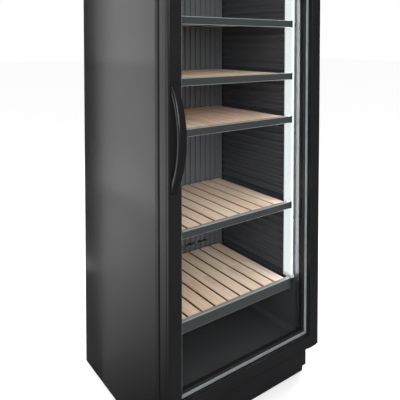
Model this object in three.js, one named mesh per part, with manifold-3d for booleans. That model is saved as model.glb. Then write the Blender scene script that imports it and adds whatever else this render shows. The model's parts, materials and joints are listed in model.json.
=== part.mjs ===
// Upright wine cooler with a glass door: insulated cabinet, ribbed side walls that carry slatted shelves,
// a hinged double-glazed door with a bow handle, and the cooling machinery at the rear.
// Millimetres. +Z is up, -Y is the front (the door), +X is the hinge side.
// The origin is the centre of the footprint, on the floor.
import * as THREE from "three";
import { mergeVertices } from "three/addons/utils/BufferGeometryUtils.js";
import Module from "manifold-3d";

const wasm = await Module();
wasm.setup();

// ---------------------------------------------------------------- driving dimensions

const GAP = 0.3; // clearance between pieces that touch
const BOOLEAN_MARGIN = 5; // how far a cutting tool runs past the face it cuts
const RIGHT_ANGLE = Math.PI / 2;

// Cabinet
const HALF_WIDTH = 297.5;
const HEIGHT = 1840;
const BACK = 300;
const DOOR_FRONT = -256;
const CABINET_FRONT = -202;
const CABINET_TOP = 1812;
const SHEET = 1.2;
const FRONT_FRAME_DEPTH = 14;
const FRONT_FRAME_BOTTOM = 126.3;
const CAP_BOTTOM = 1817;
const CAP_WALL = 3;
const FLOOR_CLEARANCE = 5; // lower edge of the side panels above the floor

// Insulated cavity, measured on the inside of the liner
const CAVITY_HALF_WIDTH = 258;
const CAVITY_FLOOR = 148;
const CAVITY_CEILING = 1742;
const CAVITY_BACK = 262;
const CAVITY_CORNER = 20;
const LINER = 2;
const STEP_FRONT = 44; // the liner steps up over the compressor here
const STEP_TOP = 300;
const FOAM_FLOOR_BOTTOM = 127;
const MACHINE_FRONT = 78;
const MACHINE_TOP = 262.5;

// Door
const DOOR_BOTTOM = 130;
const DOOR_TOP = 1809;
const DOOR_THICKNESS = 48;
const FRAME_FACE = 42; // width of the frame seen from the front
const FRONT_LIP = 12;
const REAR_LIP = 15;
const REAR_LIP_FACE = 47.5;
const GLASS_EDGE = 36; // from the door's edge to the edge of the glass
const PANE = 4;
const SPACER_WIDTH = 11;
const GASKET_WIDTH = 12;
const GASKET_INSET = 23.5; // from the door's side edge to the gasket
const GASKET_BOTTOM = 134;
const GASKET_TOP = 1762;

// Hinge
const HINGE_X = 283.5;
const HINGE_Y = -232;
const HINGE_PIN_RADIUS = 5;
const HINGE_PIN_REACH = 18; // how far a pin goes into the door
const BUSH_RADIUS = 9;
const BUSH_LENGTH = 20;
const HINGE_PLATE = 4;

// Handle
const HANDLE_X = -281;
const HANDLE_WIDTH = 26;
const HANDLE_LENGTH = 297;
const HANDLE_GRIP = 236; // chord of the inner arc
const HANDLE_REACH = 43.7;
const HANDLE_FINGER_DEPTH = 31;
const HANDLE_MID_Z = 893.5;

// Shelves, named from the bottom; heights are multiples of the rib pitch
const RIB_PITCH = 29.2;
const RIB_COUNT = 47;
const LOWEST_SHELF_TOP = 345;
const SHELF_RIBS = [0, 9, 19, 24, 30, 39];
const SHELF_FRONT = -186;
const SHELF_REAR = 192;
const RAIL_HALF_LENGTH = 240;
const RAIL_HEIGHT = 24;
const LOWEST_RAIL_HEIGHT = 35;
const RAIL_SHEET = 2;
const RAIL_FLANGE = 14;
const SHELF_HALF_WIDTH = 252;
const SHELF_WINGS_FRONT = -138; // behind the lamp, where the shelf widens onto the ribs
const TRAY_TOP_DROP = 12.6;
const TRAY_BOTTOM_DROP = 14.6;
const SLAT_COUNT = 9;
const SLAT_PITCH = 50.4;
const SLAT_GAP = 7;
const SLAT_THICKNESS = 10;

// Ribbed side walls and the rear duct panel
const RIB_WALL_FRONT = -140;
const RIB_WALL_REAR = 197;
const RIB_WALL_THICKNESS = 3;
const RIB_TIP = 247; // distance of the rib tips from the centre plane
const RIB_ROOT_HEIGHT = 12;
const RIB_TIP_HEIGHT = 7;
const DUCT_FACE = 205;
const DUCT_SHEET = 3;
const DUCT_HALF_WIDTH = 250;
const DUCT_RIB_PITCH = 24;
const DUCT_RIB_WIDTH = 12;
const DUCT_RIB_DEPTH = 6;

// Lamp: a lit strip in the right front corner of the cavity
const LAMP_FRONT = -184;
const LAMP_REAR = -144;
const LAMP_FACE = 243; // distance of the lit face from the centre plane
const LAMP_BOTTOM = 352;
const LAMP_TOP = 1690;
const LAMP_CAP = 12;
const LAMP_BACKING = 5;

// Fans
const COLD_FAN_Z = 1610;
const COLD_FAN_SIZE = 150;
const WARM_FAN_SIZE = 160;
const WARM_FAN_Y = 195;
const WARM_FAN_Z = 135;
const WARM_FAN_X = 70;
const FAN_DEPTH = 26;

// Base
const PAN_BOTTOM = 32;
const PAN_SHEET = 2;
const FOOT_X = 250;
const FOOT_Y = -160;
const ROLLER_X = 245;
const ROLLER_Y = 255;
const ROLLER_RADIUS = 14;
const ROLLER_WIDTH = 22;

// Controls, in a housing under the ceiling
const CONTROL_FRONT = -182;
const CONTROL_BOTTOM = 1700;
const BUTTON_RADIUS = 6;
const BUTTON_SPACING = 26;
const BUTTON_FIRST_X = 60;

// ---------------------------------------------------------------- materials

function finish(color, roughness, metalness) {
  return new THREE.MeshStandardMaterial({ color, roughness, metalness });
}

const blackPaint = finish(0x26272a, 0.42, 0.2);
const blackPlastic = finish(0x1d1e20, 0.5, 0);
const linerPlastic = finish(0x3a3b40, 0.55, 0);
const shelfPaint = finish(0x55565a, 0.4, 0.4);
const beech = finish(0xe8c9ae, 0.6, 0);
const aluminium = finish(0xc8cacc, 0.3, 1);
const zincSteel = finish(0x9c9fa3, 0.4, 0.9);
const blackRubber = finish(0x151515, 0.8, 0);
const foamYellow = finish(0xd9c77a, 0.9, 0);
const lampWhite = finish(0xf4f2ff, 0.4, 0);
const screenBlack = finish(0x0a0b10, 0.15, 0);
const clearGlass = new THREE.MeshStandardMaterial({
  color: 0xcfe0dc,
  roughness: 0.05,
  transparent: true,
  opacity: 0.3,
});

// ---------------------------------------------------------------- shapes and solids

/** Straight-sided outline through the points given. */
function outline(points) {
  return new THREE.Shape(points.map(([a, b]) => new THREE.Vector2(a, b)));
}

/** Rectangle from its low corner to its high corner, with round corners where a radius is given. */
function rectangle(lowA, lowB, highA, highB, radius = 0) {
  if (!radius) {
    return outline([
      [lowA, lowB],
      [highA, lowB],
      [highA, highB],
      [lowA, highB],
    ]);
  }
  const shape = new THREE.Shape();
  shape.moveTo(lowA + radius, lowB);
  shape.lineTo(highA - radius, lowB);
  shape.absarc(highA - radius, lowB + radius, radius, -RIGHT_ANGLE, 0);
  shape.lineTo(highA, highB - radius);
  shape.absarc(highA - radius, highB - radius, radius, 0, RIGHT_ANGLE);
  shape.lineTo(lowA + radius, highB);
  shape.absarc(lowA + radius, highB - radius, radius, RIGHT_ANGLE, 2 * RIGHT_ANGLE);
  shape.lineTo(lowA, lowB + radius);
  shape.absarc(lowA + radius, lowB + radius, radius, 2 * RIGHT_ANGLE, 3 * RIGHT_ANGLE);
  return shape;
}

function extrude(shape, length, curveSegments) {
  return new THREE.ExtrudeGeometry(shape, { depth: length, bevelEnabled: false, curveSegments });
}

/** An outline drawn in X and Y, from one height to another. */
function alongZ(shape, low, high, curveSegments = 6) {
  return extrude(shape, high - low, curveSegments).translate(0, 0, low);
}

/** An outline drawn in X and Z, from one depth to another. */
function alongY(shape, low, high, curveSegments = 6) {
  return extrude(shape, high - low, curveSegments).rotateX(RIGHT_ANGLE).translate(0, high, 0);
}

/** An outline drawn in Y and Z, from one side to another. */
function alongX(shape, low, high, curveSegments = 6) {
  const turn = new THREE.Matrix4().makeBasis(
    new THREE.Vector3(0, 1, 0),
    new THREE.Vector3(0, 0, 1),
    new THREE.Vector3(1, 0, 0),
  );
  return extrude(shape, high - low, curveSegments).applyMatrix4(turn).translate(low, 0, 0);
}

function box(lowX, highX, lowY, highY, lowZ, highZ) {
  return new THREE.BoxGeometry(highX - lowX, highY - lowY, highZ - lowZ).translate(
    (lowX + highX) / 2,
    (lowY + highY) / 2,
    (lowZ + highZ) / 2,
  );
}

/** Upright cylinder standing on a height. */
function post(x, y, low, high, radius, segments = 20) {
  return new THREE.CylinderGeometry(radius, radius, high - low, segments)
    .rotateX(RIGHT_ANGLE)
    .translate(x, y, (low + high) / 2);
}

/** Cylinder lying front to back. */
function barrelY(x, z, low, high, radius, segments = 28) {
  return new THREE.CylinderGeometry(radius, radius, high - low, segments).translate(x, (low + high) / 2, z);
}

/** Cylinder lying side to side. */
function barrelX(y, z, low, high, radius, segments = 28) {
  return new THREE.CylinderGeometry(radius, radius, high - low, segments)
    .rotateZ(RIGHT_ANGLE)
    .translate((low + high) / 2, y, z);
}

/** Profile of radius and height turned about an upright axis. */
function turned(profile, segments = 20) {
  const points = profile.map(([radius, height]) => new THREE.Vector2(radius, height));
  return new THREE.LatheGeometry(points, segments).rotateX(RIGHT_ANGLE);
}

function solid(geometry) {
  const bare = geometry.clone();
  bare.deleteAttribute("normal");
  bare.deleteAttribute("uv");
  const merged = mergeVertices(bare, 1e-3);
  return new wasm.Manifold(
    new wasm.Mesh({
      numProp: 3,
      vertProperties: new Float32Array(merged.attributes.position.array),
      triVerts: new Uint32Array(merged.index.array),
    }),
  );
}

function geometryOf(manifold) {
  const mesh = manifold.getMesh();
  const geometry = new THREE.BufferGeometry();
  geometry.setAttribute("position", new THREE.BufferAttribute(new Float32Array(mesh.vertProperties), 3));
  geometry.setIndex(new THREE.BufferAttribute(new Uint32Array(mesh.triVerts), 1));
  return geometry;
}

function join(...geometries) {
  return geometryOf(geometries.map(solid).reduce((sum, next) => sum.add(next)));
}

function cut(geometry, ...tools) {
  return geometryOf(tools.map(solid).reduce((rest, tool) => rest.subtract(tool), solid(geometry)));
}

function common(first, second) {
  return geometryOf(solid(first).intersect(solid(second)));
}

/** Flat ring, drawn in X and Z, between an outer and an inner outline. */
function ringY(outer, inner, low, high, curveSegments = 6) {
  outer.holes.push(inner);
  return alongY(outer, low, high, curveSegments);
}

const cooler = new THREE.Group();
const cabinet = new THREE.Group();
const door = new THREE.Group();
cooler.add(cabinet, door);

function place(group, name, geometry, material) {
  const mesh = new THREE.Mesh(geometry, material);
  mesh.name = name;
  mesh.geometry.computeVertexNormals();
  group.add(mesh);
}

// ---------------------------------------------------------------- cabinet shell

/** Sheet-steel side with a return at its rear edge; side is -1 on the left and +1 on the right. */
function sidePanel(side) {
  const outside = side * HALF_WIDTH;
  const inside = side * (HALF_WIDTH - SHEET);
  const returnEnd = side * (HALF_WIDTH - 12);
  const front = CABINET_FRONT + FRONT_FRAME_DEPTH + GAP;
  const points = [
    [outside, front],
    [outside, BACK],
    [returnEnd, BACK],
    [returnEnd, BACK - SHEET],
    [inside, BACK - SHEET],
    [inside, front],
  ];
  const ordered = side > 0 ? points : points.reverse();
  return alongZ(outline(ordered), FLOOR_CLEARANCE, CAP_BOTTOM - GAP);
}

/** Cap over the cabinet and the door, hollow above the cabinet. */
function topCap() {
  const shell = alongZ(rectangle(-HALF_WIDTH, DOOR_FRONT, HALF_WIDTH, BACK, 8), CAP_BOTTOM, HEIGHT);
  const pocket = box(
    -HALF_WIDTH + CAP_WALL,
    HALF_WIDTH - CAP_WALL,
    CABINET_FRONT,
    BACK - CAP_WALL,
    CAP_BOTTOM - BOOLEAN_MARGIN,
    HEIGHT - CAP_WALL,
  );
  return cut(shell, pocket);
}

/** Outline of the cavity seen from the side, grown outwards by a margin and open past the front. */
function cavitySide(margin, front) {
  return outline([
    [front, CAVITY_FLOOR - margin],
    [STEP_FRONT + margin, CAVITY_FLOOR - margin],
    [STEP_FRONT + margin, STEP_TOP - margin],
    [CAVITY_BACK + margin, STEP_TOP - margin],
    [CAVITY_BACK + margin, CAVITY_CEILING + margin],
    [front, CAVITY_CEILING + margin],
  ]);
}

/** Outline of the cavity seen from the front, grown outwards by a margin. */
function cavityFront(margin) {
  const half = CAVITY_HALF_WIDTH + margin;
  return rectangle(-half, CAVITY_FLOOR - margin, half, CAVITY_CEILING + margin, CAVITY_CORNER + margin);
}

function cavity(margin, front) {
  const half = CAVITY_HALF_WIDTH + margin;
  return common(
    alongX(cavitySide(margin, front), -half - BOOLEAN_MARGIN, half + BOOLEAN_MARGIN),
    alongY(cavityFront(margin), front - BOOLEAN_MARGIN, CAVITY_BACK + margin + BOOLEAN_MARGIN),
  );
}

function foamBody() {
  const front = CABINET_FRONT + FRONT_FRAME_DEPTH + 1;
  const rear = BACK - SHEET - GAP;
  const side = outline([
    [front, FOAM_FLOOR_BOTTOM],
    [MACHINE_FRONT, FOAM_FLOOR_BOTTOM],
    [MACHINE_FRONT, MACHINE_TOP],
    [rear, MACHINE_TOP],
    [rear, CABINET_TOP],
    [front, CABINET_TOP],
  ]);
  const half = HALF_WIDTH - SHEET - GAP;
  return cut(alongX(side, -half, half), cavity(LINER + GAP, front - BOOLEAN_MARGIN));
}

/** Thin tub that lines the cavity, with its lip reaching the front of the cabinet. */
function innerLiner() {
  const front = CABINET_FRONT + 0.5;
  return cut(cavity(LINER, front), cavity(0, front - BOOLEAN_MARGIN));
}

/** Frame at the cabinet's front, which the door gasket meets. */
function frontFrame() {
  return ringY(
    rectangle(-HALF_WIDTH, FRONT_FRAME_BOTTOM, HALF_WIDTH, CABINET_TOP),
    cavityFront(LINER + GAP),
    CABINET_FRONT,
    CABINET_FRONT + FRONT_FRAME_DEPTH,
  );
}

/** Plinth panel under the door: flush with the cabinet's front, with a toe strip set back below it. */
function plinthPanel() {
  const toeSetback = 8;
  const toeTop = 29;
  const front = CABINET_FRONT;
  const rear = CABINET_FRONT + FRONT_FRAME_DEPTH - 2;
  const top = FRONT_FRAME_BOTTOM - HINGE_PLATE - 2 * GAP;
  const face = box(-HALF_WIDTH, HALF_WIDTH, front, rear, toeTop, top);
  const toe = box(
    -HALF_WIDTH + toeSetback,
    HALF_WIDTH - toeSetback,
    front + toeSetback,
    rear,
    FLOOR_CLEARANCE,
    toeTop + 1,
  );
  return join(face, toe);
}

/** Floor of the machine space, with holes for the feet and two pairs of ears that hold the rollers. */
function basePan() {
  const half = HALF_WIDTH - SHEET - GAP;
  const front = CABINET_FRONT + FRONT_FRAME_DEPTH + 2;
  const rear = BACK - SHEET - GAP;
  const earSheet = 2;
  const earHalfLength = 16;
  const earBottom = 6;
  const earSpan = ROLLER_WIDTH / 2 + 1.5;
  const axleHole = 3.6;
  const upstand = 40;
  let pan = join(
    box(-half, half, front, rear, PAN_BOTTOM, PAN_BOTTOM + PAN_SHEET),
    box(-half, -half + PAN_SHEET, front, rear, PAN_BOTTOM, PAN_BOTTOM + upstand),
    box(half - PAN_SHEET, half, front, rear, PAN_BOTTOM, PAN_BOTTOM + upstand),
  );
  for (const side of [-1, 1]) {
    pan = cut(pan, post(side * FOOT_X, FOOT_Y, PAN_BOTTOM - BOOLEAN_MARGIN, PAN_BOTTOM + BOOLEAN_MARGIN, 6));
    for (const face of [-1, 1]) {
      const middle = side * ROLLER_X + face * (earSpan + earSheet / 2);
      const ear = box(
        middle - earSheet / 2,
        middle + earSheet / 2,
        ROLLER_Y - earHalfLength,
        ROLLER_Y + earHalfLength,
        earBottom,
        PAN_BOTTOM + PAN_SHEET / 2,
      );
      const hole = barrelX(ROLLER_Y, ROLLER_RADIUS, middle - BOOLEAN_MARGIN, middle + BOOLEAN_MARGIN, axleHole, 16);
      pan = join(pan, cut(ear, hole));
    }
  }
  return pan;
}

place(cabinet, "left_side_panel", sidePanel(-1), blackPaint);
place(cabinet, "right_side_panel", sidePanel(1), blackPaint);
place(cabinet, "top_cap", topCap(), blackPlastic);
place(
  cabinet,
  "back_panel",
  box(
    -HALF_WIDTH + 12.5,
    HALF_WIDTH - 12.5,
    BACK - SHEET,
    BACK,
    MACHINE_TOP + 1,
    CAP_BOTTOM - GAP,
  ),
  blackPaint,
);
place(cabinet, "foam_body", foamBody(), foamYellow);
place(cabinet, "inner_liner", innerLiner(), linerPlastic);
place(cabinet, "front_frame", frontFrame(), blackPlastic);
place(cabinet, "plinth_panel", plinthPanel(), blackPlastic);
place(cabinet, "base_pan", basePan(), zincSteel);

// ---------------------------------------------------------------- inside walls

/** Side wall of horizontal ribs that the shelves rest on; side is -1 on the left and +1 on the right. */
function ribWall(side) {
  const root = CAVITY_HALF_WIDTH - GAP;
  const face = root - RIB_WALL_THICKNESS;
  const lowestRibTop = LOWEST_SHELF_TOP - TRAY_BOTTOM_DROP - GAP;
  const bottom = lowestRibTop - RIB_ROOT_HEIGHT - 2;
  const top = lowestRibTop + (RIB_COUNT - 1) * RIB_PITCH + 6;
  const points = [
    [root, top],
    [root, bottom],
    [face, bottom],
  ];
  for (let rib = 0; rib < RIB_COUNT; rib++) {
    const ribTop = lowestRibTop + rib * RIB_PITCH;
    points.push(
      [face, ribTop - RIB_ROOT_HEIGHT],
      [RIB_TIP, ribTop - RIB_TIP_HEIGHT],
      [RIB_TIP, ribTop],
      [face, ribTop],
    );
  }
  points.push([face, top]);
  const drawn = points.map(([x, z]) => [side * x, z]);
  const ordered = side > 0 ? drawn.reverse() : drawn;
  return alongY(outline(ordered), RIB_WALL_FRONT, RIB_WALL_REAR);
}

/** Rear panel with vertical ribs, an opening for the fan and return slots near its foot. */
function rearDuctPanel() {
  const ribs = 2 * Math.floor((DUCT_HALF_WIDTH - DUCT_RIB_WIDTH) / DUCT_RIB_PITCH) + 1;
  const firstRib = (-(ribs - 1) / 2) * DUCT_RIB_PITCH;
  const points = [
    [DUCT_HALF_WIDTH, DUCT_FACE + DUCT_SHEET],
    [-DUCT_HALF_WIDTH, DUCT_FACE + DUCT_SHEET],
    [-DUCT_HALF_WIDTH, DUCT_FACE],
  ];
  for (let rib = 0; rib < ribs; rib++) {
    const middle = firstRib + rib * DUCT_RIB_PITCH;
    points.push(
      [middle - DUCT_RIB_WIDTH / 2, DUCT_FACE],
      [middle - DUCT_RIB_WIDTH / 2 + 2, DUCT_FACE - DUCT_RIB_DEPTH],
      [middle + DUCT_RIB_WIDTH / 2 - 2, DUCT_FACE - DUCT_RIB_DEPTH],
      [middle + DUCT_RIB_WIDTH / 2, DUCT_FACE],
    );
  }
  points.push([DUCT_HALF_WIDTH, DUCT_FACE]);
  const panel = alongZ(outline(points), STEP_TOP + 6, CAVITY_CEILING - CAVITY_CORNER);
  const fanHole = barrelY(0, COLD_FAN_Z, DUCT_FACE - 20, DUCT_FACE + 20, COLD_FAN_SIZE / 2 - 6);
  const fanFlat = barrelY(0, COLD_FAN_Z, DUCT_FACE - 20, DUCT_FACE - 0.5, COLD_FAN_SIZE / 2 + 3);
  const slots = [-150, -90, -30, 30, 90, 150].map((x) =>
    box(x - 22, x + 22, DUCT_FACE - 20, DUCT_FACE + 20, STEP_TOP + 60, STEP_TOP + 68),
  );
  return cut(panel, fanHole, fanFlat, ...slots);
}

/** Wire guard over the fan opening: three rings on four spokes. */
function fanGuard() {
  const rear = DUCT_FACE - 0.8;
  const front = rear - 3;
  const rings = [26, 48, 70].map((radius) => {
    const outer = new THREE.Shape().absarc(0, COLD_FAN_Z, radius + 1.5, 0, 4 * RIGHT_ANGLE);
    const inner = new THREE.Path().absarc(0, COLD_FAN_Z, radius - 1.5, 0, 4 * RIGHT_ANGLE);
    return ringY(outer, inner, front, rear, 14);
  });
  const spokes = [0, 1].map((turn) =>
    box(-71, 71, front + 0.5, rear - 0.5, -1.5, 1.5)
      .rotateY(turn * RIGHT_ANGLE + RIGHT_ANGLE / 2)
      .translate(0, 0, COLD_FAN_Z),
  );
  return join(...rings, ...spokes);
}

place(cabinet, "left_rib_wall", ribWall(-1), linerPlastic);
place(cabinet, "right_rib_wall", ribWall(1), linerPlastic);
place(cabinet, "rear_duct_panel", rearDuctPanel(), linerPlastic);
place(cabinet, "fan_guard", fanGuard(), blackPaint);

// ---------------------------------------------------------------- shelves

/** Steel shelf frame: a front rail with a top flange, on a tray whose wings rest on the ribs. */
function shelfFrame(top, railHeight) {
  const railRear = SHELF_FRONT + RAIL_SHEET;
  const barWidth = 16;
  const innerHalf = RAIL_HALF_LENGTH - barWidth;
  const tray = outline([
    [-RAIL_HALF_LENGTH, SHELF_FRONT + 1],
    [RAIL_HALF_LENGTH, SHELF_FRONT + 1],
    [RAIL_HALF_LENGTH, SHELF_WINGS_FRONT],
    [SHELF_HALF_WIDTH, SHELF_WINGS_FRONT],
    [SHELF_HALF_WIDTH, SHELF_REAR],
    [-SHELF_HALF_WIDTH, SHELF_REAR],
    [-SHELF_HALF_WIDTH, SHELF_WINGS_FRONT],
    [-RAIL_HALF_LENGTH, SHELF_WINGS_FRONT],
  ]);
  const trayBottom = top - TRAY_BOTTOM_DROP;
  const trayTop = top - TRAY_TOP_DROP;
  const openingWidth = (2 * innerHalf - 2 * barWidth) / 3;
  const openings = [-1, 0, 1].map((place) => {
    const middle = place * (openingWidth + barWidth);
    return box(
      middle - openingWidth / 2,
      middle + openingWidth / 2,
      SHELF_FRONT + RAIL_FLANGE + 8,
      SHELF_REAR - barWidth,
      trayBottom - BOOLEAN_MARGIN,
      trayTop + BOOLEAN_MARGIN,
    );
  });
  return join(
    cut(alongZ(tray, trayBottom, trayTop), ...openings),
    box(-RAIL_HALF_LENGTH, RAIL_HALF_LENGTH, SHELF_FRONT, railRear, top - railHeight, top),
    box(-RAIL_HALF_LENGTH, RAIL_HALF_LENGTH, SHELF_FRONT, SHELF_FRONT + RAIL_FLANGE, top - RAIL_SHEET, top),
    box(
      -RAIL_HALF_LENGTH,
      RAIL_HALF_LENGTH,
      SHELF_FRONT,
      SHELF_FRONT + RAIL_FLANGE - 2,
      top - railHeight,
      top - railHeight + RAIL_SHEET,
    ),
  );
}

/** Beech deck: slats front to back, joined at both ends. */
function shelfDeck(top) {
  const half = (SLAT_COUNT * SLAT_PITCH - SLAT_GAP) / 2;
  const front = SHELF_FRONT + RAIL_SHEET + GAP;
  const rear = SHELF_REAR - 2;
  const endJoin = 10;
  const deckTop = top - RAIL_SHEET - GAP;
  const deckBottom = deckTop - SLAT_THICKNESS;
  const gaps = [];
  for (let gap = 1; gap < SLAT_COUNT; gap++) {
    const middle = (gap - SLAT_COUNT / 2) * SLAT_PITCH;
    gaps.push(
      box(
        middle - SLAT_GAP / 2,
        middle + SLAT_GAP / 2,
        front + endJoin,
        rear - endJoin,
        deckBottom - BOOLEAN_MARGIN,
        deckTop + BOOLEAN_MARGIN,
      ),
    );
  }
  return cut(box(-half, half, front, rear, deckBottom, deckTop), ...gaps);
}

SHELF_RIBS.forEach((ribs, index) => {
  const top = LOWEST_SHELF_TOP + ribs * RIB_PITCH;
  const railHeight = index === 0 ? LOWEST_RAIL_HEIGHT : RAIL_HEIGHT;
  place(cabinet, `shelf_frame_${index + 1}`, shelfFrame(top, railHeight), shelfPaint);
  place(cabinet, `shelf_deck_${index + 1}`, shelfDeck(top), beech);
});

// ---------------------------------------------------------------- lamp

const lampRoot = CAVITY_HALF_WIDTH - GAP;

/** Backing channel of the lamp, along the right wall. */
function lampHousing() {
  return alongZ(
    outline([
      [lampRoot, LAMP_FRONT],
      [lampRoot, LAMP_REAR],
      [LAMP_FACE, LAMP_REAR],
      [LAMP_FACE, LAMP_REAR - 3],
      [lampRoot - LAMP_BACKING, LAMP_REAR - 3],
      [lampRoot - LAMP_BACKING, LAMP_FRONT + 3],
      [LAMP_FACE + 6, LAMP_FRONT + 3],
      [LAMP_FACE + 6, LAMP_FRONT],
    ]),
    LAMP_BOTTOM,
    LAMP_TOP,
  );
}

/** Lit cover with a round front edge. */
function lampDiffuser() {
  const front = LAMP_FRONT;
  const rear = LAMP_REAR - 3 - GAP;
  const back = lampRoot - LAMP_BACKING - GAP;
  const radius = 5.5;
  const shape = new THREE.Shape();
  shape.moveTo(LAMP_FACE, front + radius);
  shape.absarc(LAMP_FACE + radius, front + radius, radius, 2 * RIGHT_ANGLE, 3 * RIGHT_ANGLE);
  shape.lineTo(LAMP_FACE + radius, front + 3 + GAP);
  shape.lineTo(back, front + 3 + GAP);
  shape.lineTo(back, rear);
  shape.lineTo(LAMP_FACE, rear);
  return alongZ(shape, LAMP_BOTTOM, LAMP_TOP, 5);
}

place(cabinet, "lamp_housing", lampHousing(), aluminium);
place(cabinet, "lamp_diffuser", lampDiffuser(), lampWhite);
place(
  cabinet,
  "lamp_end_cap",
  box(LAMP_FACE, lampRoot, LAMP_FRONT, LAMP_REAR, LAMP_BOTTOM - GAP - LAMP_CAP, LAMP_BOTTOM - GAP),
  lampWhite,
);

// ---------------------------------------------------------------- controls

const controlTop = CAVITY_CEILING - GAP;
const controlHalf = 205;
const buttonZ = (CONTROL_BOTTOM + controlTop) / 2;
const displayX = -20;
const displayHalf = 34;
const BUTTON_PITCHES = [0, 1, 2];

/** Housing under the ceiling with pockets for the display and the buttons. */
function controlHousing() {
  const rear = CONTROL_FRONT + 70;
  const body = alongX(
    outline([
      [CONTROL_FRONT, CONTROL_BOTTOM + 6],
      [CONTROL_FRONT + 6, CONTROL_BOTTOM],
      [rear, CONTROL_BOTTOM],
      [rear, controlTop],
      [CONTROL_FRONT, controlTop],
    ]),
    -controlHalf,
    controlHalf,
  );
  const window = box(
    displayX - displayHalf - GAP,
    displayX + displayHalf + GAP,
    CONTROL_FRONT - BOOLEAN_MARGIN,
    CONTROL_FRONT + 4,
    buttonZ - 11 - GAP,
    buttonZ + 11 + GAP,
  );
  const pockets = BUTTON_PITCHES.map((n) =>
    barrelY(
      BUTTON_FIRST_X + n * BUTTON_SPACING,
      buttonZ,
      CONTROL_FRONT - BOOLEAN_MARGIN,
      CONTROL_FRONT + 8,
      BUTTON_RADIUS + 0.6,
      20,
    ),
  );
  return cut(body, window, ...pockets);
}

function controlButton(n) {
  const x = BUTTON_FIRST_X + n * BUTTON_SPACING;
  return join(
    barrelY(x, buttonZ, CONTROL_FRONT - 1.5, CONTROL_FRONT + 3, BUTTON_RADIUS, 20),
    barrelY(x, buttonZ, CONTROL_FRONT + 2, CONTROL_FRONT + 6, BUTTON_RADIUS / 2, 12),
  );
}

place(cabinet, "control_housing", controlHousing(), blackPlastic);
place(
  cabinet,
  "control_display",
  box(
    displayX - displayHalf,
    displayX + displayHalf,
    CONTROL_FRONT + 0.5,
    CONTROL_FRONT + 3.7,
    buttonZ - 11,
    buttonZ + 11,
  ),
  screenBlack,
);
["down", "up", "light"].forEach((use, n) => {
  place(cabinet, `${use}_button`, controlButton(n), blackPlastic);
});

// ---------------------------------------------------------------- cooling circuit

/** Block of upright fins on a solid header, drawn from above. */
function finBlock(lowX, highX, lowY, highY, lowZ, highZ, fins) {
  const header = 8;
  const pitch = (highX - lowX) / fins;
  const points = [
    [highX, highY],
    [lowX, highY],
  ];
  for (let fin = 0; fin < fins; fin++) {
    const start = lowX + fin * pitch;
    points.push(
      [start, lowY],
      [start + pitch * 0.45, lowY],
      [start + pitch * 0.45, highY - header],
      [start + pitch, highY - header],
    );
  }
  points[points.length - 1] = [highX, highY - header];
  return alongZ(outline(points), lowZ, highZ);
}

/** Square fan frame with a round hole and a motor held by four arms; the axis is Y, at the origin. */
function fanFrame(size, boreRadius, motorRadius) {
  const half = size / 2;
  const outer = rectangle(-half, -half, half, half, 8);
  const bore = new THREE.Path().absarc(0, 0, boreRadius, 0, 4 * RIGHT_ANGLE);
  const rim = ringY(outer, bore, 0, FAN_DEPTH, 8);
  const arm = 5;
  const arms = [0, 1].map((turn) =>
    box(-boreRadius - 1, boreRadius + 1, FAN_DEPTH - 3, FAN_DEPTH, -arm / 2, arm / 2)
      .rotateY(turn * RIGHT_ANGLE + RIGHT_ANGLE / 2),
  );
  const motor = barrelY(0, 0, FAN_DEPTH - 4, FAN_DEPTH, motorRadius, 16);
  return join(rim, ...arms, motor);
}

/** Fan rotor of pitched blades on a hub; the axis is Y, at the origin. */
function fanRotor(tipRadius, hubRadius, blades) {
  const front = 3;
  const rear = FAN_DEPTH - 6;
  const hub = barrelY(0, 0, front, rear, hubRadius, 20);
  const length = tipRadius - hubRadius;
  const made = [];
  for (let blade = 0; blade < blades; blade++) {
    made.push(
      new THREE.BoxGeometry(length + 4, 1.8, hubRadius * 1.1)
        .rotateX(0.42)
        .translate(hubRadius - 2 + length / 2, (front + rear) / 2, 0)
        .rotateY((blade * 4 * RIGHT_ANGLE) / blades),
    );
  }
  return join(hub, ...made);
}

const coldFanPlace = [0, DUCT_FACE + DUCT_SHEET + GAP, COLD_FAN_Z];

place(cabinet, "evaporator", finBlock(-190, 190, 216, 258, 1360, 1510, 24), aluminium);
place(
  cabinet,
  "evaporator_fan_housing",
  fanFrame(COLD_FAN_SIZE, 70, 20).translate(...coldFanPlace),
  blackPlastic,
);
place(
  cabinet,
  "evaporator_fan",
  fanRotor(66, 20, 7).translate(...coldFanPlace),
  blackPlastic,
);
place(
  cabinet,
  "condenser_fan_housing",
  fanFrame(WARM_FAN_SIZE, 75, 22)
    .rotateZ(-RIGHT_ANGLE)
    .translate(WARM_FAN_X, WARM_FAN_Y, WARM_FAN_Z),
  zincSteel,
);
place(
  cabinet,
  "condenser_fan",
  fanRotor(71, 22, 5).rotateZ(-RIGHT_ANGLE).translate(WARM_FAN_X, WARM_FAN_Y, WARM_FAN_Z),
  blackPlastic,
);
place(
  cabinet,
  "condenser",
  finBlock(-80, 80, 0, 110, 48, 222, 20).rotateZ(-RIGHT_ANGLE).translate(112, WARM_FAN_Y, 0),
  aluminium,
);

const compressorX = -120;
const compressorY = 190;
const compressorFoot = PAN_BOTTOM + PAN_SHEET + GAP;

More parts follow.
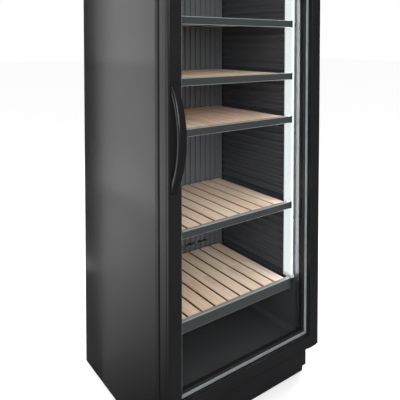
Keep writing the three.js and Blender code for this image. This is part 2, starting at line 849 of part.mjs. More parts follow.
/** Domed steel can, open below, on a foot plate with four rubber pads. */
function compressor() {
  const radius = 74;
  const wall = 10;
  const plateBottom = 12;
  const plateTop = 16;
  const shell = turned(
    [
      [0, 180 - wall],
      [40, 174 - wall],
      [66 - wall, 156 - wall],
      [radius - wall, 134],
      [radius - wall, plateBottom],
      [radius, plateBottom],
      [radius, 92],
      [radius + 3, 94],
      [radius + 3, 98],
      [radius, 100],
      [radius, 138],
      [66, 160],
      [44, 174],
      [0, 180],
    ],
    28,
  );
  const plate = cut(
    box(-78, 78, -58, 58, plateBottom, plateTop),
    post(0, 0, plateBottom - BOOLEAN_MARGIN, plateTop + BOOLEAN_MARGIN, 50),
  );
  const pads = [
    [-66, -46],
    [66, -46],
    [-66, 46],
    [66, 46],
  ].map(([x, y]) => post(x, y, 0, 14, 11, 14));
  return join(shell, plate, ...pads).translate(compressorX, compressorY, compressorFoot);
}

/** Open tray above the compressor that collects and dries the defrost water. */
function dripTray() {
  const bottom = 222;
  const top = 246;
  const wall = 2;
  return cut(
    box(-215, -25, 105, 280, bottom, top),
    box(-215 + wall, -25 - wall, 105 + wall, 280 - wall, bottom + wall, top + BOOLEAN_MARGIN),
  );
}

place(cabinet, "compressor", compressor(), blackPaint);
place(
  cabinet,
  "relay_box",
  box(compressorX - 28, compressorX + 28, 84, compressorY - 77 - GAP, 88, 142),
  blackPlastic,
);
place(cabinet, "drip_tray", dripTray(), blackPlastic);

const inletX = -235;
const inletZ = 90;
const inletHalfWidth = 17;
const inletHalfHeight = 13;
const grilleFront = BACK - SHEET - 1;

/** Slotted cover of the machine space, with a cut-out for the power inlet. */
function rearGrille() {
  const half = HALF_WIDTH - 12 - GAP;
  const cover = box(-half, half, grilleFront, BACK, PAN_BOTTOM + PAN_SHEET + GAP, MACHINE_TOP);
  const slots = [];
  for (let row = 0; row < 7; row++) {
    for (const middle of [-70, 130]) {
      const z = 80 + row * 24;
      slots.push(box(middle - 90, middle + 90, grilleFront - 5, BACK + 5, z, z + 8));
    }
  }
  const cutOut = box(
    inletX - inletHalfWidth - GAP,
    inletX + inletHalfWidth + GAP,
    grilleFront - 5,
    BACK + 5,
    inletZ - inletHalfHeight - GAP,
    inletZ + inletHalfHeight + GAP,
  );
  return cut(cover, ...slots, cutOut);
}

/** Power inlet: an open socket that faces the rear. */
function powerInlet() {
  const wall = 4.5;
  const depth = 22;
  return cut(
    box(
      inletX - inletHalfWidth,
      inletX + inletHalfWidth,
      BACK - depth,
      BACK,
      inletZ - inletHalfHeight,
      inletZ + inletHalfHeight,
    ),
    box(
      inletX - inletHalfWidth + wall,
      inletX + inletHalfWidth - wall,
      BACK - depth + wall,
      BACK + BOOLEAN_MARGIN,
      inletZ - inletHalfHeight + wall,
      inletZ + inletHalfHeight - wall,
    ),
  );
}

place(cabinet, "rear_grille", rearGrille(), blackPaint);
place(cabinet, "power_inlet", powerInlet(), blackPlastic);

// ---------------------------------------------------------------- feet and rollers

/** Levelling foot: a round pad on a threaded stem through the base pan. */
function levellingFoot(side) {
  return turned([
    [0, 0],
    [19, 0],
    [20, 2],
    [19, 9],
    [8, 12],
    [5, 13],
    [5, 62],
    [0, 62],
  ]).translate(side * FOOT_X, FOOT_Y, 0);
}

/** Rear roller with its axle in the ears of the base pan. */
function rearRoller(side) {
  const halfWidth = ROLLER_WIDTH / 2;
  const axle = 3;
  const axleEnd = halfWidth + 6;
  return turned(
    [
      [0, -axleEnd],
      [axle, -axleEnd],
      [axle, -halfWidth],
      [ROLLER_RADIUS - 1.5, -halfWidth],
      [ROLLER_RADIUS, -halfWidth + 2],
      [ROLLER_RADIUS, halfWidth - 2],
      [ROLLER_RADIUS - 1.5, halfWidth],
      [axle, halfWidth],
      [axle, axleEnd],
      [0, axleEnd],
    ],
    32,
  )
    .rotateY(RIGHT_ANGLE)
    .translate(side * ROLLER_X, ROLLER_Y, ROLLER_RADIUS);
}

for (const [side, word] of [
  [-1, "left"],
  [1, "right"],
]) {
  place(cabinet, `${word}_foot`, levellingFoot(side), zincSteel);
  place(cabinet, `${word}_roller`, rearRoller(side), blackPlastic);
}

// ---------------------------------------------------------------- hinge

const doorRear = DOOR_FRONT + DOOR_THICKNESS;
const hingePlateFront = DOOR_FRONT + 8;
const hingePlateLow = 258;
const hingePlateHigh = 296;

function hingePin(low, high) {
  return post(HINGE_X, HINGE_Y, low, high, HINGE_PIN_RADIUS, 24);
}

/** Flat plate on top of the cabinet that holds the upper pin. */
function upperHingeBracket() {
  const bottom = CABINET_TOP + GAP;
  const plate = box(hingePlateLow, hingePlateHigh, hingePlateFront, -120, bottom, bottom + HINGE_PLATE);
  const eye = post(HINGE_X, HINGE_Y, bottom - 1, bottom + HINGE_PLATE + 1, HINGE_PIN_RADIUS + GAP, 24);
  return cut(plate, eye);
}

/** Angle under the door that holds the lower pin, with its leg behind the plinth. */
function lowerHingeBracket() {
  const top = FRONT_FRAME_BOTTOM - GAP;
  const bottom = top - HINGE_PLATE;
  const legRear = CABINET_FRONT + FRONT_FRAME_DEPTH + 0.7;
  const legSheet = 2.2;
  const plate = box(hingePlateLow, hingePlateHigh, hingePlateFront, legRear, bottom, top);
  const leg = box(hingePlateLow, hingePlateHigh, legRear - legSheet, legRear, 60, bottom + 1);
  const eye = post(HINGE_X, HINGE_Y, bottom - 1, top + 1, HINGE_PIN_RADIUS + GAP, 24);
  return cut(join(plate, leg), eye);
}

/** Plastic bush in the door that turns on a pin. */
function hingeBush(low) {
  const inner = HINGE_PIN_RADIUS + 0.4;
  return turned(
    [
      [inner, 0],
      [BUSH_RADIUS, 0],
      [BUSH_RADIUS, BUSH_LENGTH],
      [inner, BUSH_LENGTH],
      [inner, 0],
    ],
    24,
  ).translate(HINGE_X, HINGE_Y, low);
}

const upperPinTop = CABINET_TOP + GAP + HINGE_PLATE;
const lowerPinBottom = FRONT_FRAME_BOTTOM - GAP - HINGE_PLATE;
place(cabinet, "upper_hinge_bracket", upperHingeBracket(), zincSteel);
place(cabinet, "lower_hinge_bracket", lowerHingeBracket(), zincSteel);
place(cabinet, "upper_hinge_pin", hingePin(DOOR_TOP - HINGE_PIN_REACH, upperPinTop), zincSteel);
place(cabinet, "lower_hinge_pin", hingePin(lowerPinBottom, DOOR_BOTTOM + HINGE_PIN_REACH), zincSteel);
place(door, "upper_hinge_bush", hingeBush(DOOR_TOP - BUSH_LENGTH), blackPlastic);
place(door, "lower_hinge_bush", hingeBush(DOOR_BOTTOM), blackPlastic);

// ---------------------------------------------------------------- door

/** Rectangle inside the door's outline, set in by one distance all round. */
function doorRectangle(inset, radius = 0) {
  return rectangle(
    -HALF_WIDTH + inset,
    DOOR_BOTTOM + inset,
    HALF_WIDTH - inset,
    DOOR_TOP - inset,
    radius,
  );
}

/** Door frame: a front lip, a channel that holds the glass, and a rear lip, bored for the hinge bushes. */
function doorFrame() {
  const channelFront = DOOR_FRONT + FRONT_LIP;
  const channelRear = doorRear - REAR_LIP;
  const overlap = 0.5;
  const frame = join(
    ringY(doorRectangle(0), doorRectangle(FRAME_FACE), DOOR_FRONT, channelFront),
    ringY(doorRectangle(0), doorRectangle(GLASS_EDGE - GAP), channelFront - overlap, channelRear + overlap),
    ringY(doorRectangle(0), doorRectangle(REAR_LIP_FACE), channelRear, doorRear),
  );
  const bore = BUSH_RADIUS + GAP;
  const depth = BUSH_LENGTH + GAP;
  return cut(
    frame,
    post(HINGE_X, HINGE_Y, DOOR_BOTTOM - BOOLEAN_MARGIN, DOOR_BOTTOM + depth, bore, 24),
    post(HINGE_X, HINGE_Y, DOOR_TOP - depth, DOOR_TOP + BOOLEAN_MARGIN, bore, 24),
  );
}

const outerPaneFront = DOOR_FRONT + FRONT_LIP + GAP;
const innerPaneRear = doorRear - REAR_LIP - GAP;
const spacerFront = outerPaneFront + PANE + GAP;
const spacerRear = innerPaneRear - PANE - GAP;

/** Hollow rubber seal on the back of the door, drawn as a ring. */
function doorGasket() {
  const half = HALF_WIDTH - GASKET_INSET;
  return ringY(
    rectangle(-half, GASKET_BOTTOM, half, GASKET_TOP),
    rectangle(
      -half + GASKET_WIDTH,
      GASKET_BOTTOM + GASKET_WIDTH,
      half - GASKET_WIDTH,
      GASKET_TOP - GASKET_WIDTH,
    ),
    doorRear + GAP,
    CABINET_FRONT - GAP,
  );
}

/** Radius of an arc from its chord and its rise. */
function arcRadius(chord, rise) {
  return ((chord / 2) ** 2 + rise ** 2) / (2 * rise);
}

/** Bow handle: a crescent between two arcs whose ends stand on the door. */
function doorHandle() {
  const foot = DOOR_FRONT - GAP;
  const outerRadius = arcRadius(HANDLE_LENGTH, HANDLE_REACH);
  const innerRadius = arcRadius(HANDLE_GRIP, HANDLE_FINGER_DEPTH);
  const outerSweep = Math.asin(HANDLE_LENGTH / 2 / outerRadius);
  const innerSweep = Math.asin(HANDLE_GRIP / 2 / innerRadius);
  const left = 2 * RIGHT_ANGLE;
  const shape = new THREE.Shape();
  shape.absarc(
    foot - HANDLE_REACH + outerRadius,
    HANDLE_MID_Z,
    outerRadius,
    left - outerSweep,
    left + outerSweep,
  );
  shape.absarc(
    foot - HANDLE_FINGER_DEPTH + innerRadius,
    HANDLE_MID_Z,
    innerRadius,
    left + innerSweep,
    left - innerSweep,
    true,
  );
  return alongX(shape, HANDLE_X - HANDLE_WIDTH / 2, HANDLE_X + HANDLE_WIDTH / 2, 16);
}

place(door, "door_frame", doorFrame(), blackPlastic);
place(door, "outer_glass", alongY(doorRectangle(GLASS_EDGE), outerPaneFront, outerPaneFront + PANE), clearGlass);
place(door, "inner_glass", alongY(doorRectangle(GLASS_EDGE), innerPaneRear - PANE, innerPaneRear), clearGlass);
place(
  door,
  "glass_spacer",
  ringY(
    doorRectangle(FRAME_FACE - 1),
    doorRectangle(FRAME_FACE - 1 + SPACER_WIDTH),
    spacerFront,
    spacerRear,
  ),
  aluminium,
);
place(door, "door_gasket", doorGasket(), blackRubber);
place(door, "door_handle", doorHandle(), blackPlastic);

export default cooler;
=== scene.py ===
# Wine cooler: the looks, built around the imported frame.
import json
import math

import bmesh
import bpy
from mathutils import Matrix, Vector


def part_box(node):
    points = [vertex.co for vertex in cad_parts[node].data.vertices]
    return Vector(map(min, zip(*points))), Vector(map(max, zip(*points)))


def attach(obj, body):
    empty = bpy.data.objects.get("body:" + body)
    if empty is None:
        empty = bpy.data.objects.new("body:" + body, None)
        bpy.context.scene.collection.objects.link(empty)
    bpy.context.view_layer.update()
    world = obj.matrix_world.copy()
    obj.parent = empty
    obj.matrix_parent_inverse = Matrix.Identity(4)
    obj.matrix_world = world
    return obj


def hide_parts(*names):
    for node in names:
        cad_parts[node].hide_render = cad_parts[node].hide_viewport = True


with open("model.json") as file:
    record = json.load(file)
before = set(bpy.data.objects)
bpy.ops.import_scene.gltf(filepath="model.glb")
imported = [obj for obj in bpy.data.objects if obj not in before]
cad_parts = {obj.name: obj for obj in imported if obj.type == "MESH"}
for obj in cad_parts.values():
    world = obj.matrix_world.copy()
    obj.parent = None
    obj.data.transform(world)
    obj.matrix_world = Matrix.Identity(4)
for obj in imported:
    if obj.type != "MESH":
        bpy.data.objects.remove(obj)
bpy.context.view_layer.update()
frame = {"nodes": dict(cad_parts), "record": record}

MM = 0.001
SLAT_PITCH = 50.4
RAIL_DEPTH = 15  # a little more than the depth of a shelf's front rail
LAMP_GLOW = 0.86
LIT_EDGE = 12  # depth over which the lamp's cover fades behind its front edge

nodes = frame["nodes"]
slot_of = {part["node"]: part["material_slot"] for part in frame["record"]["subparts"]}


def span(node):
    """Lowest and highest corner of a CAD node, in millimetres."""
    low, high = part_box(node)
    return [value / MM for value in low], [value / MM for value in high]


# ---------------------------------------------------------------- camera

CAMERA_PLACE = (-957, -1296, 1140)
CAMERA_YAW = 36.15  # degrees, from straight ahead towards the hinge side
CAMERA_PITCH = 1.85  # degrees below level
LENS = 42.87
SENSOR_WIDTH = 36
LENS_SHIFT = -0.35  # the framing is the lower part of a taller view
NEAR_CLIP = 0.05  # metres
FAR_CLIP = 100


def place_camera():
    """Nearly level camera in front of the object's left side."""
    camera = bpy.data.objects.new("camera", bpy.data.cameras.new("camera"))
    bpy.context.scene.collection.objects.link(camera)
    bpy.context.scene.camera = camera
    camera.data.lens = LENS
    camera.data.sensor_width = SENSOR_WIDTH
    camera.data.shift_y = LENS_SHIFT
    camera.data.clip_start = NEAR_CLIP
    camera.data.clip_end = FAR_CLIP
    camera.location = Vector(CAMERA_PLACE) * MM
    yaw = math.radians(CAMERA_YAW)
    pitch = math.radians(CAMERA_PITCH)
    level = math.cos(pitch)
    sight = Vector((math.sin(yaw) * level, math.cos(yaw) * level, -math.sin(pitch)))
    camera.rotation_euler = sight.to_track_quat("-Z", "Y").to_euler()


place_camera()

# ---------------------------------------------------------------- node helpers


class Nodes:
    """A material's node tree, with short calls for the nodes that the finishes share."""

    def __init__(self, name):
        self.material = bpy.data.materials.new(name)
        self.material.use_nodes = True
        self.tree = self.material.node_tree
        self.shader = self.tree.nodes["Principled BSDF"]
        self.place = self.add("ShaderNodeTexCoord").outputs["Object"]

    def add(self, kind, **settings):
        node = self.tree.nodes.new(kind)
        for key, value in settings.items():
            setattr(node, key, value)
        return node

    def link(self, source, target):
        self.tree.links.new(source, target)

    def stretched(self, scale):
        """Object position, scaled differently along each axis."""
        mapping = self.add("ShaderNodeMapping")
        mapping.inputs["Scale"].default_value = scale
        self.link(self.place, mapping.inputs["Vector"])
        return mapping.outputs["Vector"]

    def noise(self, scale, detail, place=None, rough=0.5):
        node = self.add("ShaderNodeTexNoise")
        node.inputs["Scale"].default_value = scale
        node.inputs["Detail"].default_value = detail
        node.inputs["Roughness"].default_value = rough
        self.link(place or self.place, node.inputs["Vector"])
        return node.outputs["Fac"]

    def spread(self, value, low, high, source=(0.3, 0.7)):
        """Maps a value from one range to another."""
        node = self.add("ShaderNodeMapRange")
        node.inputs["From Min"].default_value, node.inputs["From Max"].default_value = source
        node.inputs["To Min"].default_value, node.inputs["To Max"].default_value = low, high
        self.link(value, node.inputs["Value"])
        return node.outputs["Result"]

    def varied(self, scale, detail, low, high):
        """Value that drifts softly between two levels."""
        return self.spread(self.noise(scale, detail), low, high)

    def mixed(self, value, first, second):
        """Colour between two others."""
        node = self.add("ShaderNodeMix", data_type="RGBA")
        self.link(value, node.inputs["Factor"])
        for socket, colour in (("A", first), ("B", second)):
            target = [s for s in node.inputs if s.name == socket and s.type == "RGBA"][0]
            if isinstance(colour, tuple):
                target.default_value = (*colour, 1)
            else:
                self.link(colour, target)
        return [s for s in node.outputs if s.type == "RGBA"][0]

    def mottled(self, scale, detail, first, second):
        """Colour that drifts softly between two tones."""
        return self.mixed(self.varied(scale, detail, 0, 1), first, second)

    def axis(self, name, vector=None):
        """One coordinate of the object position, or of another vector."""
        node = self.add("ShaderNodeSeparateXYZ")
        self.link(vector or self.place, node.inputs["Vector"])
        return node.outputs[name]

    def facing(self, name):
        """How squarely the surface faces along one axis, from 0 to 1."""
        normal = self.add("ShaderNodeTexCoord").outputs["Normal"]
        return self.calculated("ABSOLUTE", self.axis(name, normal))

    def calculated(self, operation, first, second=None):
        """Result of one math operation on one value, or on two."""
        node = self.add("ShaderNodeMath", operation=operation)
        self.link(first, node.inputs[0])
        if isinstance(second, bpy.types.NodeSocket):
            self.link(second, node.inputs[1])
        elif second is not None:
            node.inputs[1].default_value = second
        return node.outputs["Value"]

    def bump(self, height, strength, distance, below=None):
        node = self.add("ShaderNodeBump")
        node.inputs["Strength"].default_value = strength
        node.inputs["Distance"].default_value = distance
        self.link(height, node.inputs["Height"])
        if below:
            self.link(below, node.inputs["Normal"])
        return node.outputs["Normal"]

    def set(self, **values):
        """Sets or links the shader's inputs; an underscore stands for a space."""
        for name, value in values.items():
            socket = self.shader.inputs[name.replace("_", " ")]
            if isinstance(value, bpy.types.NodeSocket):
                self.link(value, socket)
            elif isinstance(value, tuple):
                socket.default_value = (*value, 1)
            else:
                socket.default_value = value


# ---------------------------------------------------------------- finishes


def scaled(colour, factor):
    return tuple(value * factor for value in colour)


def peel_and_grain(made):
    """Orange peel of a powder coat, with a finer grain over it."""
    peel = made.bump(made.noise(420, 2), 0.015, 0.0002)
    return made.bump(made.noise(2600, 1), 0.03, 0.0001, below=peel)


def satin_paint(name, colour, shift, roughness, specular=0.5):
    """Powder-coated sheet: a fine orange peel, with faint changes of tone and gloss."""
    made = Nodes(name)
    made.set(
        Base_Color=made.mottled(3.2, 4, colour, scaled(colour, shift)),
        Roughness=made.varied(5, 3, roughness - 0.015, roughness + 0.015),
        Normal=peel_and_grain(made),
        Specular_IOR_Level=specular,
    )
    return made.material


def moulded_plastic(name, colour, shift, roughness, texture=0.16, specular=0.5):
    """Moulded plastic with a fine spark-eroded texture."""
    made = Nodes(name)
    made.set(
        Base_Color=made.mottled(6, 4, colour, scaled(colour, shift)),
        Roughness=made.varied(14, 4, roughness - 0.04, roughness + 0.04),
        Normal=made.bump(made.noise(1900, 3, rough=0.7), texture, 0.00025),
        Specular_IOR_Level=specular,
    )
    return made.material


def brushed_metal(name, colour, roughness, strength=0.1):
    """Metal with fine lines drawn along Z."""
    made = Nodes(name)
    lines = made.noise(1, 3, made.stretched((900, 900, 7)))
    made.set(
        Base_Color=made.mixed(made.spread(lines, 0, 1), scaled(colour, 0.86), colour),
        Metallic=1.0,
        Roughness=made.varied(30, 4, roughness - 0.05, roughness + 0.08),
        Normal=made.bump(lines, strength, 0.0002),
    )
    return made.material


def rail_paint():
    """Shelf steel: dark satin paint, with a painted highlight on the front rail's flange, foot and rolled
    edges.
    """
    made = Nodes("shelf_paint")
    rail_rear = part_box("shelf_frame_1")[0].y + RAIL_DEPTH * MM
    at_front = made.spread(made.axis("Y"), 1, 0, (rail_rear, rail_rear + MM))
    highlight_tilt = made.spread(made.facing("Z"), 0, 1, (0.25, 0.6))
    tone = made.varied(3.2, 4, 0, 1)
    dark = made.mixed(tone, (0.020, 0.021, 0.023), (0.025, 0.026, 0.028))
    pale = made.mixed(tone, (0.230, 0.233, 0.240), (0.265, 0.268, 0.276))
    # painted highlight: the front rail's faces that tilt up or down get the pale colour in place of the
    # dark paint
    made.set(
        Base_Color=made.mixed(made.calculated("MULTIPLY", highlight_tilt, at_front), dark, pale),
        Roughness=made.varied(5, 3, 0.29, 0.33),
        Normal=peel_and_grain(made),
        Specular_IOR_Level=0.3,
    )
    return made.material


def bright_edge_strip():
    """Spacer between the panes: silver on its flat face, with painted shade as a dark colour on its wall
    towards the opening.
    """
    made = Nodes("spacer_strip")
    cloud = made.noise(60, 2)
    silver = made.mixed(made.spread(cloud, 0, 1), (0.40, 0.41, 0.43), (0.48, 0.49, 0.51))
    unshaded_face = made.spread(made.facing("Y"), 0, 1, (0.4, 0.6))
    # painted shade: the spacer's faces that don't face the front get a dark colour in place of the silver
    made.set(
        Base_Color=made.mixed(unshaded_face, (0.045, 0.045, 0.05), silver),
        Metallic=0.3,
        Roughness=made.spread(cloud, 0.38, 0.46),
    )
    return made.material


def zinc_plate():
    """Zinc-coated steel with a faint spangle."""
    made = Nodes("zinc_steel")
    spangle = made.add("ShaderNodeTexVoronoi")
    spangle.inputs["Scale"].default_value = 130
    made.link(made.place, spangle.inputs["Vector"])
    shade = made.add("ShaderNodeSeparateColor")
    made.link(spangle.outputs["Color"], shade.inputs["Color"])
    tone = shade.outputs["Red"]
    made.set(
        Base_Color=made.mixed(tone, (0.36, 0.37, 0.39), (0.52, 0.53, 0.56)),
        Metallic=1.0,
        Roughness=made.spread(tone, 0.3, 0.46, (0, 1)),
        Normal=made.bump(made.noise(400, 3), 0.08, 0.0002),
    )
    return made.material


def beech_wood():
    """Steamed beech: pale and pinkish, with long soft grain, short flecks and a tone for each slat."""
    made = Nodes("beech")
    slat = made.add("ShaderNodeTexWhiteNoise", noise_dimensions="3D")
    cells = made.add("ShaderNodeVectorMath", operation="FLOOR")
    made.link(made.stretched((1000 / SLAT_PITCH, 0.1, 6)), cells.inputs[0])
    made.link(cells.outputs["Vector"], slat.inputs["Vector"])
    warped = made.add("ShaderNodeVectorMath", operation="ADD")
    made.link(made.stretched((55, 2.2, 55)), warped.inputs[0])
    made.link(slat.outputs["Color"], warped.inputs[1])
    grain = made.noise(1, 6, warped.outputs["Vector"], rough=0.62)
    flecks = made.noise(1, 2, made.stretched((700, 95, 700)), rough=0.8)
    base = made.mixed(slat.outputs["Value"], (0.85, 0.60, 0.47), (0.94, 0.74, 0.60))
    grained = made.mixed(made.spread(grain, 0, 0.55, (0.42, 0.66)), base, (0.64, 0.41, 0.28))
    flecked = made.mixed(made.spread(flecks, 0, 0.5, (0.60, 0.72)), grained, (0.45, 0.24, 0.14))
    made.set(
        Base_Color=flecked,
        Roughness=made.spread(grain, 0.42, 0.6),
        Normal=made.bump(grain, 0.12, 0.0004, below=made.bump(flecks, 0.1, 0.0002)),
        Specular_IOR_Level=0.35,
    )
    return made.material


def soft_rubber():
    made = Nodes("rubber")
    made.set(
        Base_Color=made.mottled(40, 4, (0.010, 0.010, 0.011), (0.018, 0.018, 0.019)),
        Roughness=made.varied(60, 3, 0.58, 0.74),
        Normal=made.bump(made.noise(1500, 2), 0.12, 0.0002),
        Specular_IOR_Level=0.35,
    )
    return made.material


def rigid_foam():
    made = Nodes("foam")
    cells = made.noise(380, 4)
    made.set(
        Base_Color=made.mixed(made.spread(cells, 0, 1), (0.60, 0.50, 0.26), (0.78, 0.69, 0.42)),
        Roughness=0.9,
        Normal=made.bump(cells, 0.5, 0.001),
    )
    return made.material


PANE_TINT = (0.97, 0.985, 0.98)
PANE_GLOSS = 0.03
MIRROR_RISE = 4  # power with which the mirror grows towards grazing


def pane_glass(name, face_on, grazing):
    """Clear pane: light passes straight through, with a weak mirror that grows towards grazing."""
    made = Nodes(name)
    made.tree.nodes.remove(made.shader)
    through = made.add("ShaderNodeBsdfTransparent")
    through.inputs["Color"].default_value = (*PANE_TINT, 1)
    mirror = made.add("ShaderNodeBsdfGlossy")
    mirror.inputs["Color"].default_value = (1, 1, 1, 1)
    mirror.inputs["Roughness"].default_value = PANE_GLOSS
    made.link(made.bump(made.noise(7, 1), 0.015, 0.001), mirror.inputs["Normal"])
    slant = made.add("ShaderNodeLayerWeight").outputs["Facing"]
    rise = made.calculated("POWER", slant, MIRROR_RISE)
    both = made.add("ShaderNodeMixShader")
    made.link(made.spread(rise, face_on, grazing, (0, 1)), both.inputs["Fac"])
    made.link(through.outputs["BSDF"], both.inputs[1])
    made.link(mirror.outputs["BSDF"], both.inputs[2])
    made.link(both.outputs["Shader"], made.tree.nodes["Material Output"].inputs["Surface"])
    return made.material


def lit_diffuser():
    """Milky cover, brightest along its front edge."""
    made = Nodes("lamp_light")
    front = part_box("lamp_diffuser")[0].y
    edge = made.spread(made.axis("Y"), 1, 0, (front, front + LIT_EDGE * MM))
    glow = made.calculated("MULTIPLY", edge, made.varied(25, 2, 0.97, 1.0))
    made.set(
        Base_Color=(0.25, 0.25, 0.26),
        Roughness=0.35,
        Emission_Color=made.mixed(glow, (0.80, 0.83, 0.87), (1.0, 1.0, 1.0)),
        Emission_Strength=LAMP_GLOW,
    )
    return made.material


def frosted_plastic():
    """End cap of the lamp, which lets a little of its light through."""
    made = Nodes("frosted_plastic")
    made.set(
        Base_Color=made.mottled(30, 3, (0.58, 0.58, 0.60), (0.68, 0.68, 0.71)),
        Roughness=0.4,
        Normal=made.bump(made.noise(900, 2), 0.1, 0.0002),
        Emission_Color=(0.8, 0.8, 0.9),
        Emission_Strength=0.12,
    )
    return made.material


def dark_screen():
    made = Nodes("display")
    made.set(
        Base_Color=made.mottled(50, 2, (0.006, 0.006, 0.008), (0.010, 0.010, 0.014)),
        Roughness=made.varied(20, 3, 0.06, 0.12),
        Coat_Weight=0.4,
    )
    return made.material


def lit_digit():
    made = Nodes("lit_digit")
    made.set(
        Base_Color=(0.3, 0.5, 0.8),
        Emission_Color=made.mottled(90, 1, (0.35, 0.62, 1.0), (0.5, 0.75, 1.0)),
        Emission_Strength=2.5,
    )
    return made.material


# name, darkest colour, lightest as a multiple of it, roughness
body_paint = satin_paint("body_paint", (0.016, 0.0157, 0.0157), 1.25, 0.17, specular=0.42)
door_profile = satin_paint("door_profile", (0.0125, 0.0122, 0.0132), 1.2, 0.24, specular=0.36)
compressor_paint = satin_paint("compressor_paint", (0.012, 0.012, 0.012), 1.3, 0.28)
cabinet_plastic = moulded_plastic(
    "cabinet_plastic", (0.014, 0.014, 0.0155), 1.3, 0.36, texture=0.08, specular=0.35
)
handle_gloss = moulded_plastic("handle", (0.008, 0.008, 0.009), 1.3, 0.24, texture=0.05)
liner_plastic = moulded_plastic(
    "liner", (0.036, 0.035, 0.038), 1.2, 0.40, texture=0.02, specular=0.35
)
# painted highlight: the liner's lip bead gets a pale grey in place of the liner's dark plastic
lip_highlight_plastic = moulded_plastic("lip_highlight_plastic", (0.24, 0.24, 0.26), 1.15, 0.3, texture=0.06)
rib_plastic = moulded_plastic(
    "rib_plastic", (0.055, 0.058, 0.068), 1.2, 0.36, texture=0.06, specular=0.4
)
duct_plastic = moulded_plastic(
    "duct_plastic", (0.105, 0.105, 0.115), 1.2, 0.40, texture=0.06, specular=0.4
)
roller_plastic = moulded_plastic("roller_plastic", (0.022, 0.022, 0.023), 1.3, 0.5)
aluminium = brushed_metal("aluminium", (0.62, 0.63, 0.65), 0.30)
copper = brushed_metal("copper", (0.78, 0.43, 0.26), 0.28, strength=0.05)
shelf_paint = rail_paint()
beech = beech_wood()
zinc = zinc_plate()
rubber = soft_rubber()

FINISHES = {
    "body_paint": body_paint,
    "cabinet_plastic": cabinet_plastic,
    "door_profile": door_profile,
    "handle": handle_gloss,
    "liner": liner_plastic,
    "foam": rigid_foam(),
    "shelf_paint": shelf_paint,
    "beech": beech,
    "aluminium": aluminium,
    "zinc_steel": zinc,
    "compressor_paint": compressor_paint,
    "roller_plastic": roller_plastic,
    "rubber": rubber,
    "lamp": lit_diffuser(),
    "display": dark_screen(),
    "glass": pane_glass("glass_outer", 0.006, 0.35),
}
OWN_FINISH = {
    "inner_glass": pane_glass("glass_inner", 0.003, 0.12),
    "rear_duct_panel": duct_plastic,
    "lamp_end_cap": frosted_plastic(),
    "glass_spacer": bright_edge_strip(),
}

# ---------------------------------------------------------------- finish of the CAD nodes

EDGE_RADIUS = {
    "front_frame": 1.2,
    "plinth_panel": 1.2,
    "top_cap": 2.0,
    "control_housing": 2.0,
    "rear_duct_panel": 0.7,
    "lamp_end_cap": 1.5,
    "relay_box": 2.0,
    "drip_tray": 0.5,
    "power_inlet": 0.7,
    "down_button": 0.5,
    "up_button": 0.5,
    "light_button": 0.5,
    "upper_hinge_bracket": 0.6,
    "lower_hinge_bracket": 0.6,
    "left_side_panel": 0.4,
    "right_side_panel": 0.4,
}
PLAIN_EDGE = 0.25  # radius on every other node
EDGE_SEGMENTS = 2
SMOOTH_ANGLE = 32  # degrees; sharper edges stay crisp
WELD_REACH = 0.01
PANES = ("outer_glass", "inner_glass")


def even_shading(piece, keep_sharp=True):
    """Smooth shading that keeps large flats flat."""
    piece.data.shade_smooth()
    weighted = piece.modifiers.new("even_shading", "WEIGHTED_NORMAL")
    weighted.keep_sharp = keep_sharp


def rounded_edges(piece, radius):
    """Joins the imported faces, rounds their sharp edges and evens the shading, all as modifiers."""
    weld = piece.modifiers.new("joined_faces", "WELD")
    weld.merge_threshold = WELD_REACH * MM
    bevel = piece.modifiers.new("rounded_edges", "BEVEL")
    bevel.width = radius * MM
    bevel.segments = EDGE_SEGMENTS
    bevel.limit_method = "ANGLE"
    bevel.angle_limit = math.radians(SMOOTH_ANGLE)
    even_shading(piece, keep_sharp=False)


def forget_imported_normals(mesh):
    """Lets the shading come from the faces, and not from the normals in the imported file."""
    attribute = mesh.attributes.get("custom_normal")
    if attribute:
        mesh.attributes.remove(attribute)


for name, node in nodes.items():
    material = OWN_FINISH.get(name, FINISHES[slot_of[name]])
    node.data.materials.clear()
    node.data.materials.append(material)
    forget_imported_normals(node.data)
    if name in PANES:
        node.data.shade_flat()
    else:
        rounded_edges(node, EDGE_RADIUS.get(name, PLAIN_EDGE))

# ---------------------------------------------------------------- mesh helpers


def turn_angles(count):
    """Even steps round a full turn."""
    return [2 * math.pi * n / count for n in range(count)]


def round_rectangle(low_a, low_b, high_a, high_b, radius, steps):
    """Closed loop of points round a rectangle with round corners."""
    points = []
    for centre_a, centre_b, start in (
        (high_a - radius, high_b - radius, 0),
        (low_a + radius, high_b - radius, 90),
        (low_a + radius, low_b + radius, 180),
        (high_a - radius, low_b + radius, 270),
    ):
        for step in range(steps + 1):
            angle = math.radians(start + 90 * step / steps)
            points.append((centre_a + radius * math.cos(angle), centre_b + radius * math.sin(angle)))
    return points


def rounded_path(points, radius, steps=4):
    """Open path with its inner corners turned into short curves."""
    path = [Vector(point) for point in points]
    made = [path[0]]
    for before, corner, after in zip(path, path[1:], path[2:]):
        reach = min(radius, (before - corner).length / 2, (after - corner).length / 2)
        start = corner + (before - corner).normalized() * reach
        end = corner + (after - corner).normalized() * reach
        for step in range(steps + 1):
            share = step / steps
            made.append(start.lerp(corner, share).lerp(corner.lerp(end, share), share))
    made.append(path[-1])
    return made


def folded_sheet(points, thickness, radius):
    """Closed outline of a bent sheet, from the path of one of its faces; the sheet lies to the left."""
    path = rounded_path(points, radius)
    other = []
    for index, point in enumerate(path):
        before = path[max(index - 1, 0)]
        after = path[min(index + 1, len(path) - 1)]
        along = (after - before).normalized()
        other.append(point + Vector((-along.y, along.x)) * thickness)
    return [tuple(p) for p in path] + [tuple(p) for p in reversed(other)]


